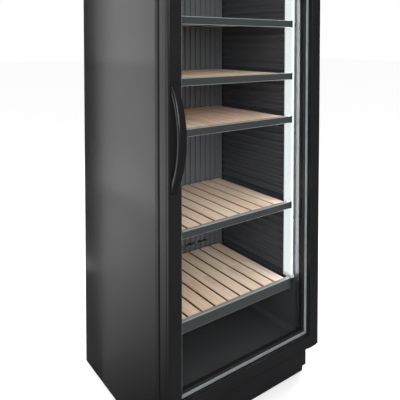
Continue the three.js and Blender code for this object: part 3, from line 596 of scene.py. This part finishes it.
class Shape:
    """Faces of one piece, in millimetres along the frame's axes."""

    def __init__(self):
        self.mesh = bmesh.new()

    def take(self, part, turn=None):
        """Adds another mesh, and frees it."""
        if turn is not None:
            bmesh.ops.transform(part, matrix=turn, verts=part.verts)
        copies = {vertex: self.mesh.verts.new(vertex.co) for vertex in part.verts}
        for face in part.faces:
            self.mesh.faces.new([copies[vertex] for vertex in face.verts])
        part.free()

    def block(self, low, high, radius, segments=2):
        """Box with rounded edges."""
        part = bmesh.new()
        bmesh.ops.create_cube(part, size=1)
        for vertex in part.verts:
            vertex.co = [a + (c + 0.5) * (b - a) for a, b, c in zip(low, high, vertex.co)]
        bmesh.ops.bevel(
            part, geom=part.edges[:], offset=radius, segments=segments, profile=0.5, affect="EDGES"
        )
        self.take(part)

    def lathe(self, profile, centre, axis, segments):
        """Turns (radius, height) points about an axis through a centre."""
        part = bmesh.new()
        rings = []
        for radius, height in profile:
            angles = turn_angles(segments) if radius else [0]
            rings.append(
                [part.verts.new((radius * math.cos(a), radius * math.sin(a), height)) for a in angles]
            )
        for first, second in zip(rings, rings[1:]):
            for n in range(segments):
                m = (n + 1) % segments
                steps = ((first, n), (first, m), (second, m), (second, n))
                corners = dict.fromkeys(ring[step % len(ring)] for ring, step in steps)
                if len(corners) > 2:
                    part.faces.new(list(corners))
        turn = Matrix.Translation(centre) @ Vector(axis).to_track_quat("Z", "Y").to_matrix().to_4x4()
        self.take(part, turn)

    def loft(self, rings, closed=False):
        """Skin over a row of closed loops with as many points each; capped unless the row is closed."""
        part = bmesh.new()
        made = [[part.verts.new(point) for point in ring] for ring in rings]
        following = made[1:] + made[:1] if closed else made[1:]
        for first, second in zip(made, following):
            count = len(first)
            for n in range(count):
                m = (n + 1) % count
                part.faces.new([first[n], first[m], second[m], second[n]])
        if not closed:
            part.faces.new(list(reversed(made[0])))
            part.faces.new(made[-1])
        self.take(part)

    def prism_x(self, outline, low, high):
        """A (y, z) outline drawn along X."""
        self.loft([[(x, y, z) for y, z in outline] for x in (low, high)])

    def prism_y(self, outline, low, high):
        """An (x, z) outline drawn along Y."""
        self.loft([[(x, y, z) for x, z in outline] for y in (low, high)])

    def prism_z(self, outline, low, high):
        """An (x, y) outline drawn along Z."""
        self.loft([[(x, y, z) for x, y in outline] for z in (low, high)])

    def tube(self, points, radius, sides):
        """Round tube along a path of points."""
        path = [Vector(point) for point in points]
        rings = []
        side = None
        for index, point in enumerate(path):
            along = (path[min(index + 1, len(path) - 1)] - path[max(index - 1, 0)]).normalized()
            if side is None:
                side = along.orthogonal().normalized()
            side = (side - along * side.dot(along)).normalized()
            up = along.cross(side)
            rings.append(
                [point + (side * math.cos(a) + up * math.sin(a)) * radius for a in turn_angles(sides)]
            )
        self.loft(rings)

    def make(self, name, material, body, slot, stands_for=()):
        """Ends the mesh as a piece that rides on a body."""
        bmesh.ops.recalc_face_normals(self.mesh, faces=self.mesh.faces)
        data = bpy.data.meshes.new(name)
        self.mesh.to_mesh(data)
        self.mesh.free()
        data.transform(Matrix.Scale(MM, 4))
        data.materials.append(material)
        piece = bpy.data.objects.new(name, data)
        bpy.context.scene.collection.objects.link(piece)
        even_shading(piece)
        data.set_sharp_from_angle(angle=math.radians(SMOOTH_ANGLE))
        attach(piece, body)
        if stands_for:
            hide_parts(*stands_for)


# ---------------------------------------------------------------- door

door_low, door_high = span("door_frame")
handle_low, handle_high = span("door_handle")
gasket_low, gasket_high = span("door_gasket")

FRAME_FACE = 42  # width of the frame's front face
GLASS_INSET = 36  # from the door's edge to the edge of the panes
GLASS_PLAY = 0.3
CHANNEL_FRONT = 11.8  # depths between which the panes sit
CHANNEL_REAR = 33.2
REAR_LIP = 47.5
MITRE_GAP = 0.12


def mitred_frame(shape, profile, low, high):
    """Four bars with mitred ends around a box. The profile gives (inset from the edge, depth)."""
    corners = [
        (low[0], low[2], 1, 1),
        (high[0], low[2], -1, 1),
        (high[0], high[2], -1, -1),
        (low[0], high[2], 1, -1),
    ]
    for index in range(4):
        gap_x, gap_z = (MITRE_GAP, 0) if index % 2 == 0 else (0, MITRE_GAP)
        rings = []
        for x, z, in_x, in_z in (corners[index], corners[(index + 1) % 4]):
            ring = []
            for inset, back in profile:
                place_x = x + in_x * inset + in_x * gap_x
                place_z = z + in_z * inset + in_z * gap_z
                ring.append((place_x, low[1] + back, place_z))
            rings.append(ring)
        shape.loft(rings)


def door_frame_profile():
    """Door frame: round front corner, shadow groove, channel for the panes and rear lip."""
    thickness = door_high[1] - door_low[1]
    channel = GLASS_INSET - GLASS_PLAY
    profile = [
        (0.0, 4.0),
        (0.35, 2.4),
        (1.2, 1.1),
        (2.6, 0.4),
        (4.4, 0.25),
        (4.8, 1.1),
        (5.6, 1.1),
        (6.0, 0.25),
        (12.0, 0.0),
        (36.5, 0.0),
        (39.6, 0.5),
        (41.2, 1.6),
        (FRAME_FACE, 3.6),
        (FRAME_FACE, CHANNEL_FRONT),
        (channel, CHANNEL_FRONT),
        (channel, CHANNEL_REAR),
        (46.6, CHANNEL_REAR),
        (REAR_LIP, 34.1),
        (REAR_LIP, 46.6),
        (46.1, thickness),
        (2.0, thickness),
        (0.6, thickness - 0.6),
        (0.0, thickness - 2.0),
        (0.0, 15.0),
        (0.8, 14.4),
        (0.8, 12.6),
        (0.0, 12.0),
    ]
    shape = Shape()
    mitred_frame(shape, profile, door_low, door_high)
    return shape


door_frame_profile().make("door_frame_profile", door_profile, "door", "door_profile", ["door_frame"])

FINGER_DEPTH = 31  # clear depth behind the middle of the grip
GRIP_HALF = 118  # half the length of that gap
GRIP_HALF_WIDTH = 13
END_TAPER = 2.2  # how much narrower each side is at the ends
END_SHARE = 0.996  # share of the length that the rings reach
END_DEPTH = 0.5  # least depth at the ends
SECTION_POWER = 0.55  # 1 gives an ellipse, and less a fuller section
HANDLE_STATIONS = 60
HANDLE_SIDES = 28


def arc_height(half_chord, rise, place):
    """Height of a shallow arc over its chord, at a distance from the middle."""
    radius = (half_chord**2 + rise**2) / (2 * rise)
    return math.sqrt(radius**2 - place * place) - (radius - rise)


def filled_out(value):
    """Sine or cosine moved outwards, which turns an ellipse into a soft rectangle."""
    return math.copysign(abs(value) ** SECTION_POWER, value)


def bow_handle():
    """Bow handle: a bowed grip with a soft rectangular section, solid towards its two feet."""
    foot = handle_high[1]
    middle_x = (handle_low[0] + handle_high[0]) / 2
    middle_z = (handle_low[2] + handle_high[2]) / 2
    half_length = (handle_high[2] - handle_low[2]) / 2
    reach = foot - handle_low[1]
    rings = []
    for station in range(HANDLE_STATIONS + 1):
        share = -1 + 2 * station / HANDLE_STATIONS
        z = half_length * math.sin(share * math.pi / 2) * END_SHARE
        outer = max(arc_height(half_length, reach, z), END_DEPTH)
        inner = arc_height(GRIP_HALF, FINGER_DEPTH, z) if abs(z) < GRIP_HALF else 0
        depth = (outer - inner) / 2
        centre = (outer + inner) / 2
        width = GRIP_HALF_WIDTH - END_TAPER * (abs(z) / half_length) ** 2
        ring = []
        for angle in turn_angles(HANDLE_SIDES):
            side = filled_out(math.cos(angle)) * width
            front = filled_out(math.sin(angle)) * depth
            ring.append((middle_x + side, foot - centre - front, middle_z + z))
        rings.append(ring)
    shape = Shape()
    shape.loft(rings)
    return shape


bow_handle().make("bow_handle", handle_gloss, "door", "handle", ["door_handle"])

SEAL_WIDTH = 12
# Outer half of the seal's section, from its root: inset from the edge, and share of the depth.
SEAL_SIDE = ((0.6, 0), (0.0, 0.16), (1.0, 0.30), (0.2, 0.52), (0.0, 0.72), (0.8, 0.92), (2.4, 1))


def door_seal():
    """Bellows seal: a soft tube on a flat root, following the back of the door."""
    depth = gasket_high[1] - gasket_low[1]
    outer = [(inset, depth * share) for inset, share in SEAL_SIDE]
    inner = [(SEAL_WIDTH - inset, back) for inset, back in outer]
    profile = outer[:1] + inner + outer[:0:-1]
    shape = Shape()
    mitred_frame(shape, profile, gasket_low, gasket_high)
    return shape


door_seal().make("door_seal", rubber, "door", "rubber", ["door_gasket"])

# ---------------------------------------------------------------- shelves

SHELF_COUNT = 6

RAIL_HALF = 240  # half the length of the front rail
RAIL_FLANGE = 14
RAIL_FOOT = 11
RAIL_HEM = 4
RAIL_SHEET = 1.6
RAIL_BEND = 3.8
CAP_THICKNESS = 1.1
CAP_GAP = 0.1
CAP_INSET = 0.2
CAP_SETBACK = 1
CAP_EDGE = 0.5

TRAY_DROP = 14.6  # from the top of the rail to the underside of the tray
TRAY_SHEET = 2
TRAY_EDGE = 0.6
TRAY_INNER = 224  # inner edge of its wings and arms
WING_FRONT = -138  # where the wings start, along Y
ARM_START = 3  # behind the face of the rail, as are the next two
BAR_START = 12
FRONT_BAR = (6, 22)
BAR_SIDES = (65, 81)
REAR_BAR = 16
ARM_LAP = 4
BAR_LAP = 2

SLAT_COUNT = 9
SLAT_GAP = 8.6
SLAT_EDGE = 0.9
SLAT_LIFT = 0.6  # of the slats and strips above the underside of the battens
SLAT_DROP = 0.3  # of the slats' tops, on average
SLAT_WAVER = 0.25  # how much their heights differ, as a wave over the slats
SLAT_WAVE = 2.1
FIRST_SLAT = -(SLAT_COUNT - 1) / 2 * SLAT_PITCH
BATTEN_INSET = 24
BATTEN_HALF = 7
BATTEN_THICKNESS = 2.6
BATTEN_EDGE = 0.5
STRIP_DROP = 3.2  # from the top of the deck to the strips
STRIP_LAP = 1
STRIP_EDGE = 0.3


def side_block(shape, side, across, along, level, radius):
    """Rounded block on one side; across gives its two distances from the centre plane."""
    left, right = sorted(side * distance for distance in across)
    shape.block((left, along[0], level[0]), (right, along[1], level[1]), radius)


def shelf_rail(shape, low, high):
    """Front rail: a bent steel channel with a hem along its lower edge, and a cap at each end."""
    front = low[1]
    foot = low[2]
    top = high[2]
    outline = folded_sheet(
        [
            (front + RAIL_FLANGE, top),
            (front, top),
            (front, foot),
            (front + RAIL_FOOT, foot),
            (front + RAIL_FOOT, foot + RAIL_HEM),
        ],
        RAIL_SHEET,
        RAIL_BEND,
    )
    cap_inner = RAIL_HALF - CAP_THICKNESS
    shape.prism_x(outline, CAP_GAP - cap_inner, cap_inner - CAP_GAP)
    along = (front + CAP_INSET, front + RAIL_FLANGE - CAP_SETBACK)
    level = (foot + CAP_INSET, top - CAP_INSET)
    for side in (-1, 1):
        side_block(shape, side, (cap_inner, RAIL_HALF), along, level, CAP_EDGE)


def shelf_tray(shape, low, high):
    """Welded frame: wings on the ribs, arms to the rail, a rear bar, a front bar and two between."""
    bottom = high[2] - TRAY_DROP
    top = bottom + TRAY_SHEET
    level = (bottom, top)
    rear = high[1] - REAR_BAR
    wing = (WING_FRONT, high[1])
    arm = (low[1] + ARM_START, WING_FRONT + ARM_LAP)
    bar = (low[1] + BAR_START, rear + BAR_LAP)
    for side in (-1, 1):
        side_block(shape, side, (TRAY_INNER, high[0]), wing, level, TRAY_EDGE)
        side_block(shape, side, (TRAY_INNER, RAIL_HALF), arm, level, TRAY_EDGE)
        side_block(shape, side, BAR_SIDES, bar, level, TRAY_EDGE)
    shape.block((-high[0], rear, bottom), (high[0], high[1], top), TRAY_EDGE)
    near, far = (low[1] + depth for depth in FRONT_BAR)
    shape.block((-TRAY_INNER, near, bottom), (TRAY_INNER, far, top), TRAY_EDGE)


def gap_strips(shape, low, high):
    """Dark strips that close the gaps between the slats from below."""
    half = SLAT_GAP / 2 + STRIP_LAP
    for gap in range(SLAT_COUNT - 1):
        middle = FIRST_SLAT + (gap + 0.5) * SLAT_PITCH
        shape.block(
            (middle - half, low[1] + STRIP_LAP, low[2] + SLAT_LIFT),
            (middle + half, high[1] - STRIP_LAP, high[2] - STRIP_DROP),
            STRIP_EDGE,
            1,
        )


def shelf_slats(shape, low, high):
    """Slats front to back with rounded edges, on three battens."""
    half = (SLAT_PITCH - SLAT_GAP) / 2
    for slat in range(SLAT_COUNT):
        middle = FIRST_SLAT + slat * SLAT_PITCH
        top = high[2] - SLAT_DROP + SLAT_WAVER * math.sin(slat * SLAT_WAVE)
        shape.block((middle - half, low[1], low[2] + SLAT_LIFT), (middle + half, high[1], top), SLAT_EDGE)
    edge = SLAT_COUNT * SLAT_PITCH / 2 - SLAT_GAP
    for y in (low[1] + BATTEN_INSET, (low[1] + high[1]) / 2, high[1] - BATTEN_INSET):
        shape.block(
            (-edge, y - BATTEN_HALF, low[2]),
            (edge, y + BATTEN_HALF, low[2] + BATTEN_THICKNESS),
            BATTEN_EDGE,
        )


def shelf(number):
    """Steel, slats and gap strips of one shelf."""
    low, high = span(f"shelf_frame_{number}")
    deck_low, deck_high = span(f"shelf_deck_{number}")
    steel = Shape()
    shelf_rail(steel, low, high)
    shelf_tray(steel, low, high)
    steel.make(f"shelf_steel_{number}", shelf_paint, "cabinet", "shelf_paint", [f"shelf_frame_{number}"])
    wood = Shape()
    shelf_slats(wood, deck_low, deck_high)
    wood.make(f"shelf_slats_{number}", beech, "cabinet", "beech", [f"shelf_deck_{number}"])
    strips = Shape()
    gap_strips(strips, deck_low, deck_high)
    strips.make(f"slat_strips_{number}", rubber, "cabinet", "cabinet_plastic")


for number in range(1, SHELF_COUNT + 1):
    shelf(number)

# ---------------------------------------------------------------- ribbed side walls

RIB_PITCH = 29.2
FIRST_LEDGE = 14  # above the lower edge of the wall
FIRST_SWEEP = 13
TOP_MARGIN = 5  # no ledge comes closer to its upper edge
LEDGE_SWEEP = 19  # height of a ledge's swept underside
LEDGE_NOSE = 2.2
SWEEP_STEPS = 6
NOSE_STEPS = 3
WALL_SHEET = 3
WALL_FILLET = 1.2


def rib_section(low, high):
    """Half section of a ribbed wall, as (distance from the centre plane, height)."""
    root = max(abs(low[0]), abs(high[0]))
    tip = min(abs(low[0]), abs(high[0]))
    face = root - WALL_SHEET
    section = [(root, high[2]), (root, low[2]), (face, low[2])]
    ledge = low[2] + FIRST_LEDGE
    sweep = FIRST_SWEEP
    while ledge < high[2] - TOP_MARGIN:
        for step in range(SWEEP_STEPS + 1):
            share = step / SWEEP_STEPS
            out = (face - tip) * (1 - math.cos(math.pi * share)) / 2
            section.append((face - out, ledge - sweep + (sweep - LEDGE_NOSE) * share))
        for step in range(1, NOSE_STEPS + 1):
            angle = math.radians(90 * step / NOSE_STEPS)
            out = LEDGE_NOSE * (1 - math.cos(angle))
            section.append((tip + out, ledge - LEDGE_NOSE * (1 - math.sin(angle))))
        section.append((face - WALL_FILLET, ledge))
        section.append((face, ledge + WALL_FILLET))
        ledge += RIB_PITCH
        sweep = LEDGE_SWEEP
    section.append((face, high[2]))
    return section


def rib_wall(node, side):
    """Moulded wall of ledges: each has a swept underside, a round nose and a flat top."""
    low, high = span(node)
    wall = Shape()
    wall.prism_y([(side * out, z) for out, z in rib_section(low, high)], low[1], high[1])
    return wall


rib_wall("left_rib_wall", -1).make("rib_wall_left", rib_plastic, "cabinet", "liner", ["left_rib_wall"])
rib_wall("right_rib_wall", 1).make("rib_wall_right", rib_plastic, "cabinet", "liner", ["right_rib_wall"])

# ---------------------------------------------------------------- cabinet details

front_low = span("front_frame")[0]
liner_low, liner_high = span("inner_liner")

BEAD_RADIUS = 1.7
BEAD_SIDES = 10
BEAD_INSET = 1.2
BEAD_SINK = 0.6  # of its centre line, behind the face of the front frame
BEAD_CORNER = 21  # radius at the corners of the opening
BEAD_CORNER_STEPS = 8


def lip_bead():
    """Bead that covers the joint between the liner and the cabinet's front frame."""
    path = round_rectangle(
        liner_low[0] + BEAD_INSET,
        liner_low[2] + BEAD_INSET,
        liner_high[0] - BEAD_INSET,
        liner_high[2] - BEAD_INSET,
        BEAD_CORNER,
        BEAD_CORNER_STEPS,
    )
    y = front_low[1] + BEAD_SINK
    rings = []
    for index, (x, z) in enumerate(path):
        before = path[index - 1]
        after = path[(index + 1) % len(path)]
        along = Vector((after[0] - before[0], 0, after[1] - before[1])).normalized()
        inward = along.cross(Vector((0, 1, 0)))
        ring = []
        for angle in turn_angles(BEAD_SIDES):
            across = inward * BEAD_RADIUS * math.cos(angle)
            ring.append(Vector((x, y, z)) + across + Vector((0, BEAD_RADIUS * math.sin(angle), 0)))
        rings.append(ring)
    shape = Shape()
    shape.loft(rings, closed=True)
    return shape


# the bead's pale grey is a painted highlight along the liner's lip
lip_bead().make("liner_lip", lip_highlight_plastic, "cabinet", "liner")

back_low, back_high = span("back_panel")
grille_low, grille_high = span("rear_grille")

SWAGE_PITCH = 62
SWAGE_HALF = 9
SWAGE_FLANK = 4
SWAGE_RISE = 0.9
SWAGES = 7
FLANK_STEPS = 4
SEAM_COVER = 0.7  # the back sheet reaches down over the joint above the grille


def swaged_back():
    """Back sheet stiffened by pressed vertical swages."""
    plain = back_high[1] - SWAGE_RISE
    face = [(back_low[0], plain)]
    flank = [step / FLANK_STEPS for step in range(FLANK_STEPS + 1)]
    for number in range(SWAGES):
        middle = (number - (SWAGES - 1) / 2) * SWAGE_PITCH
        for side in (-1, 1):
            for share in flank[::side]:
                rise = SWAGE_RISE * (1 + math.cos(math.pi * share)) / 2
                face.append((middle + side * (SWAGE_HALF + SWAGE_FLANK * share), plain + rise))
    face.append((back_high[0], plain))
    outline = face + [(back_high[0], back_low[1]), (back_low[0], back_low[1])]
    shape = Shape()
    shape.prism_z(outline, back_low[2] - SEAM_COVER, back_high[2])
    return shape


swaged_back().make("swaged_back", body_paint, "cabinet", "body_paint", ["back_panel"])

SCREW_RADIUS = 4.2
SCREW_SIDES = 16
SCREW_SEAT = 1.9  # below the face that the screw's crown reaches
SCREW_PROFILE = [
    (0, 0.9),
    (SCREW_RADIUS * 0.28, 0.9),
    (SCREW_RADIUS * 0.36, 1.9),
    (SCREW_RADIUS * 0.7, 1.6),
    (SCREW_RADIUS, 0.7),
    (SCREW_RADIUS, -0.6),
    (0, -0.6),
]
BACK_SCREWS = (-250, -125, 0, 125, 250)
SIDE_SCREW = 274
SIDE_SCREW_PITCH = 250
SIDE_SCREW_COUNT = 5
GRILLE_SCREWS = (-262, -90, 90, 262)
SCREW_INSET = 12
GRILLE_FOOT_INSET = 14


def screw(shape, x, face, z):
    """Pan-head screw with a round hollow in its crown."""
    shape.lathe(SCREW_PROFILE, (x, face - SCREW_SEAT, z), (0, 1, 0), SCREW_SIDES)


def rear_screws():
    """Screws round the back sheet, and in two rows on the grille."""
    shape = Shape()
    for x in BACK_SCREWS:
        for z in (back_low[2] + SCREW_INSET, back_high[2] - SCREW_INSET):
            screw(shape, x, back_high[1], z)
    for side in (-1, 1):
        for row in range(1, SIDE_SCREW_COUNT + 1):
            screw(shape, side * SIDE_SCREW, back_high[1], back_low[2] + row * SIDE_SCREW_PITCH)
    for x in GRILLE_SCREWS:
        screw(shape, x, grille_high[1], grille_high[2] - SCREW_INSET)
        screw(shape, x, grille_high[1], grille_low[2] + GRILLE_FOOT_INSET)
    return shape


rear_screws().make("rear_screws", zinc, "cabinet", "zinc_steel")

# ---------------------------------------------------------------- display digits

display_low, display_high = span("control_display")

SEGMENTS = {"1": "bc", "2": "abged"}
DIGITS = (("1", -30), ("2", -18))  # character and the left end of its bars
DIGIT_WIDTH = 6
DIGIT_HEIGHT = 12
DIGIT_STROKE = 1.1
DIGIT_DEPTH = 0.4
DIGIT_PROUD = 0.15  # of the face of the display
DIGIT_EDGE = 0.12


def digit(shape, character, x):
    """Seven-segment digit on the face of the display."""
    right = x + DIGIT_WIDTH
    foot = (display_low[2] + display_high[2]) / 2 - DIGIT_HEIGHT / 2
    middle = foot + DIGIT_HEIGHT / 2
    top = foot + DIGIT_HEIGHT
    bars = {
        "a": (x, right, top, top),
        "g": (x, right, middle, middle),
        "d": (x, right, foot, foot),
        "f": (x, x, middle, top),
        "b": (right, right, middle, top),
        "e": (x, x, foot, middle),
        "c": (right, right, foot, middle),
    }
    y = display_low[1] - DIGIT_PROUD
    half = DIGIT_STROKE / 2
    for segment in SEGMENTS[character]:
        low_x, high_x, low_z, high_z = bars[segment]
        shape.block(
            (low_x - half, y, low_z - half),
            (high_x + half, y + DIGIT_DEPTH, high_z + half),
            DIGIT_EDGE,
            1,
        )


digits = Shape()
for character, left in DIGITS:
    digit(digits, character, left)
digits.make("display_digits", lit_digit(), "cabinet", "display")

# ---------------------------------------------------------------- refrigerant pipes

PIPE_SIDES = 12
BEND_STEPS = 6
PIPES = (  # radius, bend radius and path; each runs from the compressor
    (3.2, 14, [(-60, 215, 120), (-20, 215, 120), (-20, 150, 120), (-20, 150, 60), (108, 150, 60)]),
    (4, 14, [(-178, 240, 130), (-230, 240, 130), (-230, 240, 180), (-250, 240, 250)]),
    (2.6, 10, [(-120, 262, 100), (-120, 284, 100), (20, 284, 100), (20, 284, 60), (150, 284, 60)]),
)


def refrigerant_pipes():
    """Copper pipes to the condenser, up to the evaporator, and to the condenser's rear."""
    shape = Shape()
    for radius, bend, path in PIPES:
        shape.tube(rounded_path(path, bend, BEND_STEPS), radius, PIPE_SIDES)
    return shape


refrigerant_pipes().make("refrigerant_pipes", copper, "cabinet", "zinc_steel")

# ---------------------------------------------------------------- floor, world and lights, in metres

FLOOR_HALF = 30
FLOOR_GLOW = 0.42  # lifts the floor to white where the camera sees it


def plain_floor():
    """Pale floor, which reflections show darker towards the front."""
    data = bpy.data.meshes.new("floor")
    corners = [(-FLOOR_HALF, -FLOOR_HALF, 0), (FLOOR_HALF, -FLOOR_HALF, 0)]
    corners += [(FLOOR_HALF, FLOOR_HALF, 0), (-FLOOR_HALF, FLOOR_HALF, 0)]
    data.from_pydata(corners, [], [(0, 1, 2, 3)])
    floor = bpy.data.objects.new("floor", data)
    bpy.context.scene.collection.objects.link(floor)
    pale = Nodes("pale_floor")
    path = pale.add("ShaderNodeLightPath")
    seen = pale.mottled(2, 2, (0.87, 0.87, 0.87), (0.89, 0.89, 0.89))
    rear = pale.spread(pale.axis("Y"), 0, 1, (0.0, 1.0))
    mirrored = pale.mixed(rear, (0.07, 0.07, 0.07), (0.82, 0.82, 0.82))
    pale.set(
        Base_Color=pale.mixed(path.outputs["Is Glossy Ray"], seen, mirrored),
        Roughness=0.8,
        Specular_IOR_Level=0.1,
        Emission_Color=(1.0, 1.0, 1.0),
        Emission_Strength=pale.spread(path.outputs["Is Camera Ray"], 0, FLOOR_GLOW, (0, 1)),
    )
    data.materials.append(pale.material)


plain_floor()

CARD_X = -0.62
CARD_NEAR = 0.88
CARD_FAR = 1.75
CARD_TOP = 2.7
CARD_LIFT = 0.003  # of its lying part, above the floor


def dark_card():
    """Black card that stands and lies behind the left side, and darkens the rear of its reflection."""
    standing = [
        (CARD_X, CARD_NEAR, 0),
        (CARD_X, CARD_FAR, 0),
        (CARD_X, CARD_FAR, CARD_TOP),
        (CARD_X, CARD_NEAR, CARD_TOP),
    ]
    outline = [(-0.3, 0.165), (CARD_X, CARD_NEAR), (-0.2, CARD_FAR), (0.2, 0.6), (-0.2, 0.4)]
    lying = [(x, y, CARD_LIFT) for x, y in outline]
    data = bpy.data.meshes.new("dark_card")
    data.from_pydata(standing + lying, [], [(0, 1, 2, 3), (4, 5, 6, 7, 8)])
    card = bpy.data.objects.new("dark_card", data)
    bpy.context.scene.collection.objects.link(card)
    matt = Nodes("black_card")
    height = matt.spread(matt.axis("Z"), 0, 1, (0.0, 0.4))
    matt.set(
        Base_Color=matt.mixed(height, (0.10, 0.10, 0.10), (0.04, 0.04, 0.04)),
        Roughness=1.0,
        Specular_IOR_Level=0.0,
    )
    data.materials.append(matt.material)
    card.visible_camera = False
    card.visible_diffuse = False
    card.visible_shadow = False
    card.visible_transmission = False


dark_card()

WORLD_LIGHT = 0.30  # strength as it lights surfaces
WORLD_GLOSS = 0.07  # strength in reflections
WORLD_SEEN = 1.0  # strength where the camera sees it


def studio_world():
    """Even pale surroundings: white where they are seen, softer where they light."""
    world = bpy.data.worlds.new("studio")
    bpy.context.scene.world = world
    world.use_nodes = True
    tree = world.node_tree
    background = tree.nodes["Background"]
    background.inputs["Color"].default_value = (1, 1, 1, 1)
    path = tree.nodes.new("ShaderNodeLightPath")
    lighting = tree.nodes.new("ShaderNodeMapRange")
    lighting.inputs["To Min"].default_value = WORLD_LIGHT
    lighting.inputs["To Max"].default_value = WORLD_GLOSS
    tree.links.new(path.outputs["Is Glossy Ray"], lighting.inputs["Value"])
    level = tree.nodes.new("ShaderNodeMapRange")
    level.inputs["To Max"].default_value = WORLD_SEEN
    tree.links.new(path.outputs["Is Camera Ray"], level.inputs["Value"])
    tree.links.new(lighting.outputs["Result"], level.inputs["To Min"])
    tree.links.new(level.outputs["Result"], background.inputs["Strength"])


studio_world()

SUN_STRENGTH = 1.2
SUN_SPREAD = 70  # degrees
SUN_DIRECTION = (0.25, 0.35, -1)


def overhead_sun():
    """Very soft light from above, which reflections don't show."""
    data = bpy.data.lights.new("overhead", "SUN")
    data.energy = SUN_STRENGTH
    data.angle = math.radians(SUN_SPREAD)
    lamp = bpy.data.objects.new("overhead", data)
    bpy.context.scene.collection.objects.link(lamp)
    lamp.rotation_euler = Vector(SUN_DIRECTION).to_track_quat("-Z", "Y").to_euler()
    lamp.visible_glossy = False


def soft_box(name, place, target, size, power, colour=(1, 1, 1)):
    """Rectangular soft light that isn't itself seen."""
    data = bpy.data.lights.new(name, "AREA")
    data.shape = "RECTANGLE"
    data.size, data.size_y = size
    data.energy = power
    data.color = colour
    lamp = bpy.data.objects.new(name, data)
    bpy.context.scene.collection.objects.link(lamp)
    lamp.location = place
    lamp.rotation_euler = (Vector(target) - Vector(place)).to_track_quat("-Z", "Y").to_euler()
    lamp.visible_camera = False


# Name, place, target, width and height, watts. The two panel lights meet edge to edge, and mirror
# in the left side panel; the cavity fill stands just behind the door.
SOFT_BOXES = (
    ("lower_panel_light", (-1.2, 1.65, 0.535), (0, 1.65, 0.535), (0.94, 0.97), 2.9),
    ("upper_panel_light", (-1.2, 1.65, 1.835), (0, 1.65, 1.835), (0.94, 1.63), 9.0),
    ("front_fill", (-1.5, -3.1, 2.1), (0, 0, 0.8), (1.8, 1.8), 75),
    ("right_side_light", (2.4, 0.9, 1.9), (0.3, 0.1, 1.0), (1.2, 2.0), 32),
    ("rear_light", (0.9, 2.6, 2.1), (0, 0.3, 1.0), (1.6, 2.0), 32),
    ("cavity_fill", (0, -0.195, 0.95), (0, 1, 0.95), (0.48, 1.58), 2.1),
)
LAMP_TINT = (0.97, 0.97, 1.0)
STRIP_CLEARANCE = 0.6  # millimetres, as are the next two
GLOW_INSET = 4
GLOW_CLEARANCE = 1
STRIP_WIDTH = 0.034
STRIP_AIM = (-1, 0.35)
STRIP_POWER = 1.25
GLOW_WIDTH = 0.006
GLOW_AIM = (0.6, -1)
GLOW_POWER = 0.6


def lamp_lights():
    """The lamp's light into the cavity, and its glow on the wall beside it."""
    low, high = span("lamp_diffuser")
    height = (high[2] - low[2]) * MM
    level = (high[2] + low[2]) / 2 * MM
    x = (low[0] - STRIP_CLEARANCE) * MM
    y = (low[1] + high[1]) / 2 * MM
    target = (x + STRIP_AIM[0], y + STRIP_AIM[1], level)
    soft_box("lamp_strip", (x, y, level), target, (STRIP_WIDTH, height), STRIP_POWER, LAMP_TINT)
    x = (low[0] + GLOW_INSET) * MM
    y = (low[1] - GLOW_CLEARANCE) * MM
    target = (x + GLOW_AIM[0], y + GLOW_AIM[1], level)
    soft_box("lamp_wall_glow", (x, y, level), target, (GLOW_WIDTH, height), GLOW_POWER, LAMP_TINT)


overhead_sun()
for soft_light in SOFT_BOXES:
    soft_box(*soft_light)
lamp_lights()

# ---------------------------------------------------------------- view transform

bpy.context.scene.view_settings.view_transform = "Standard"
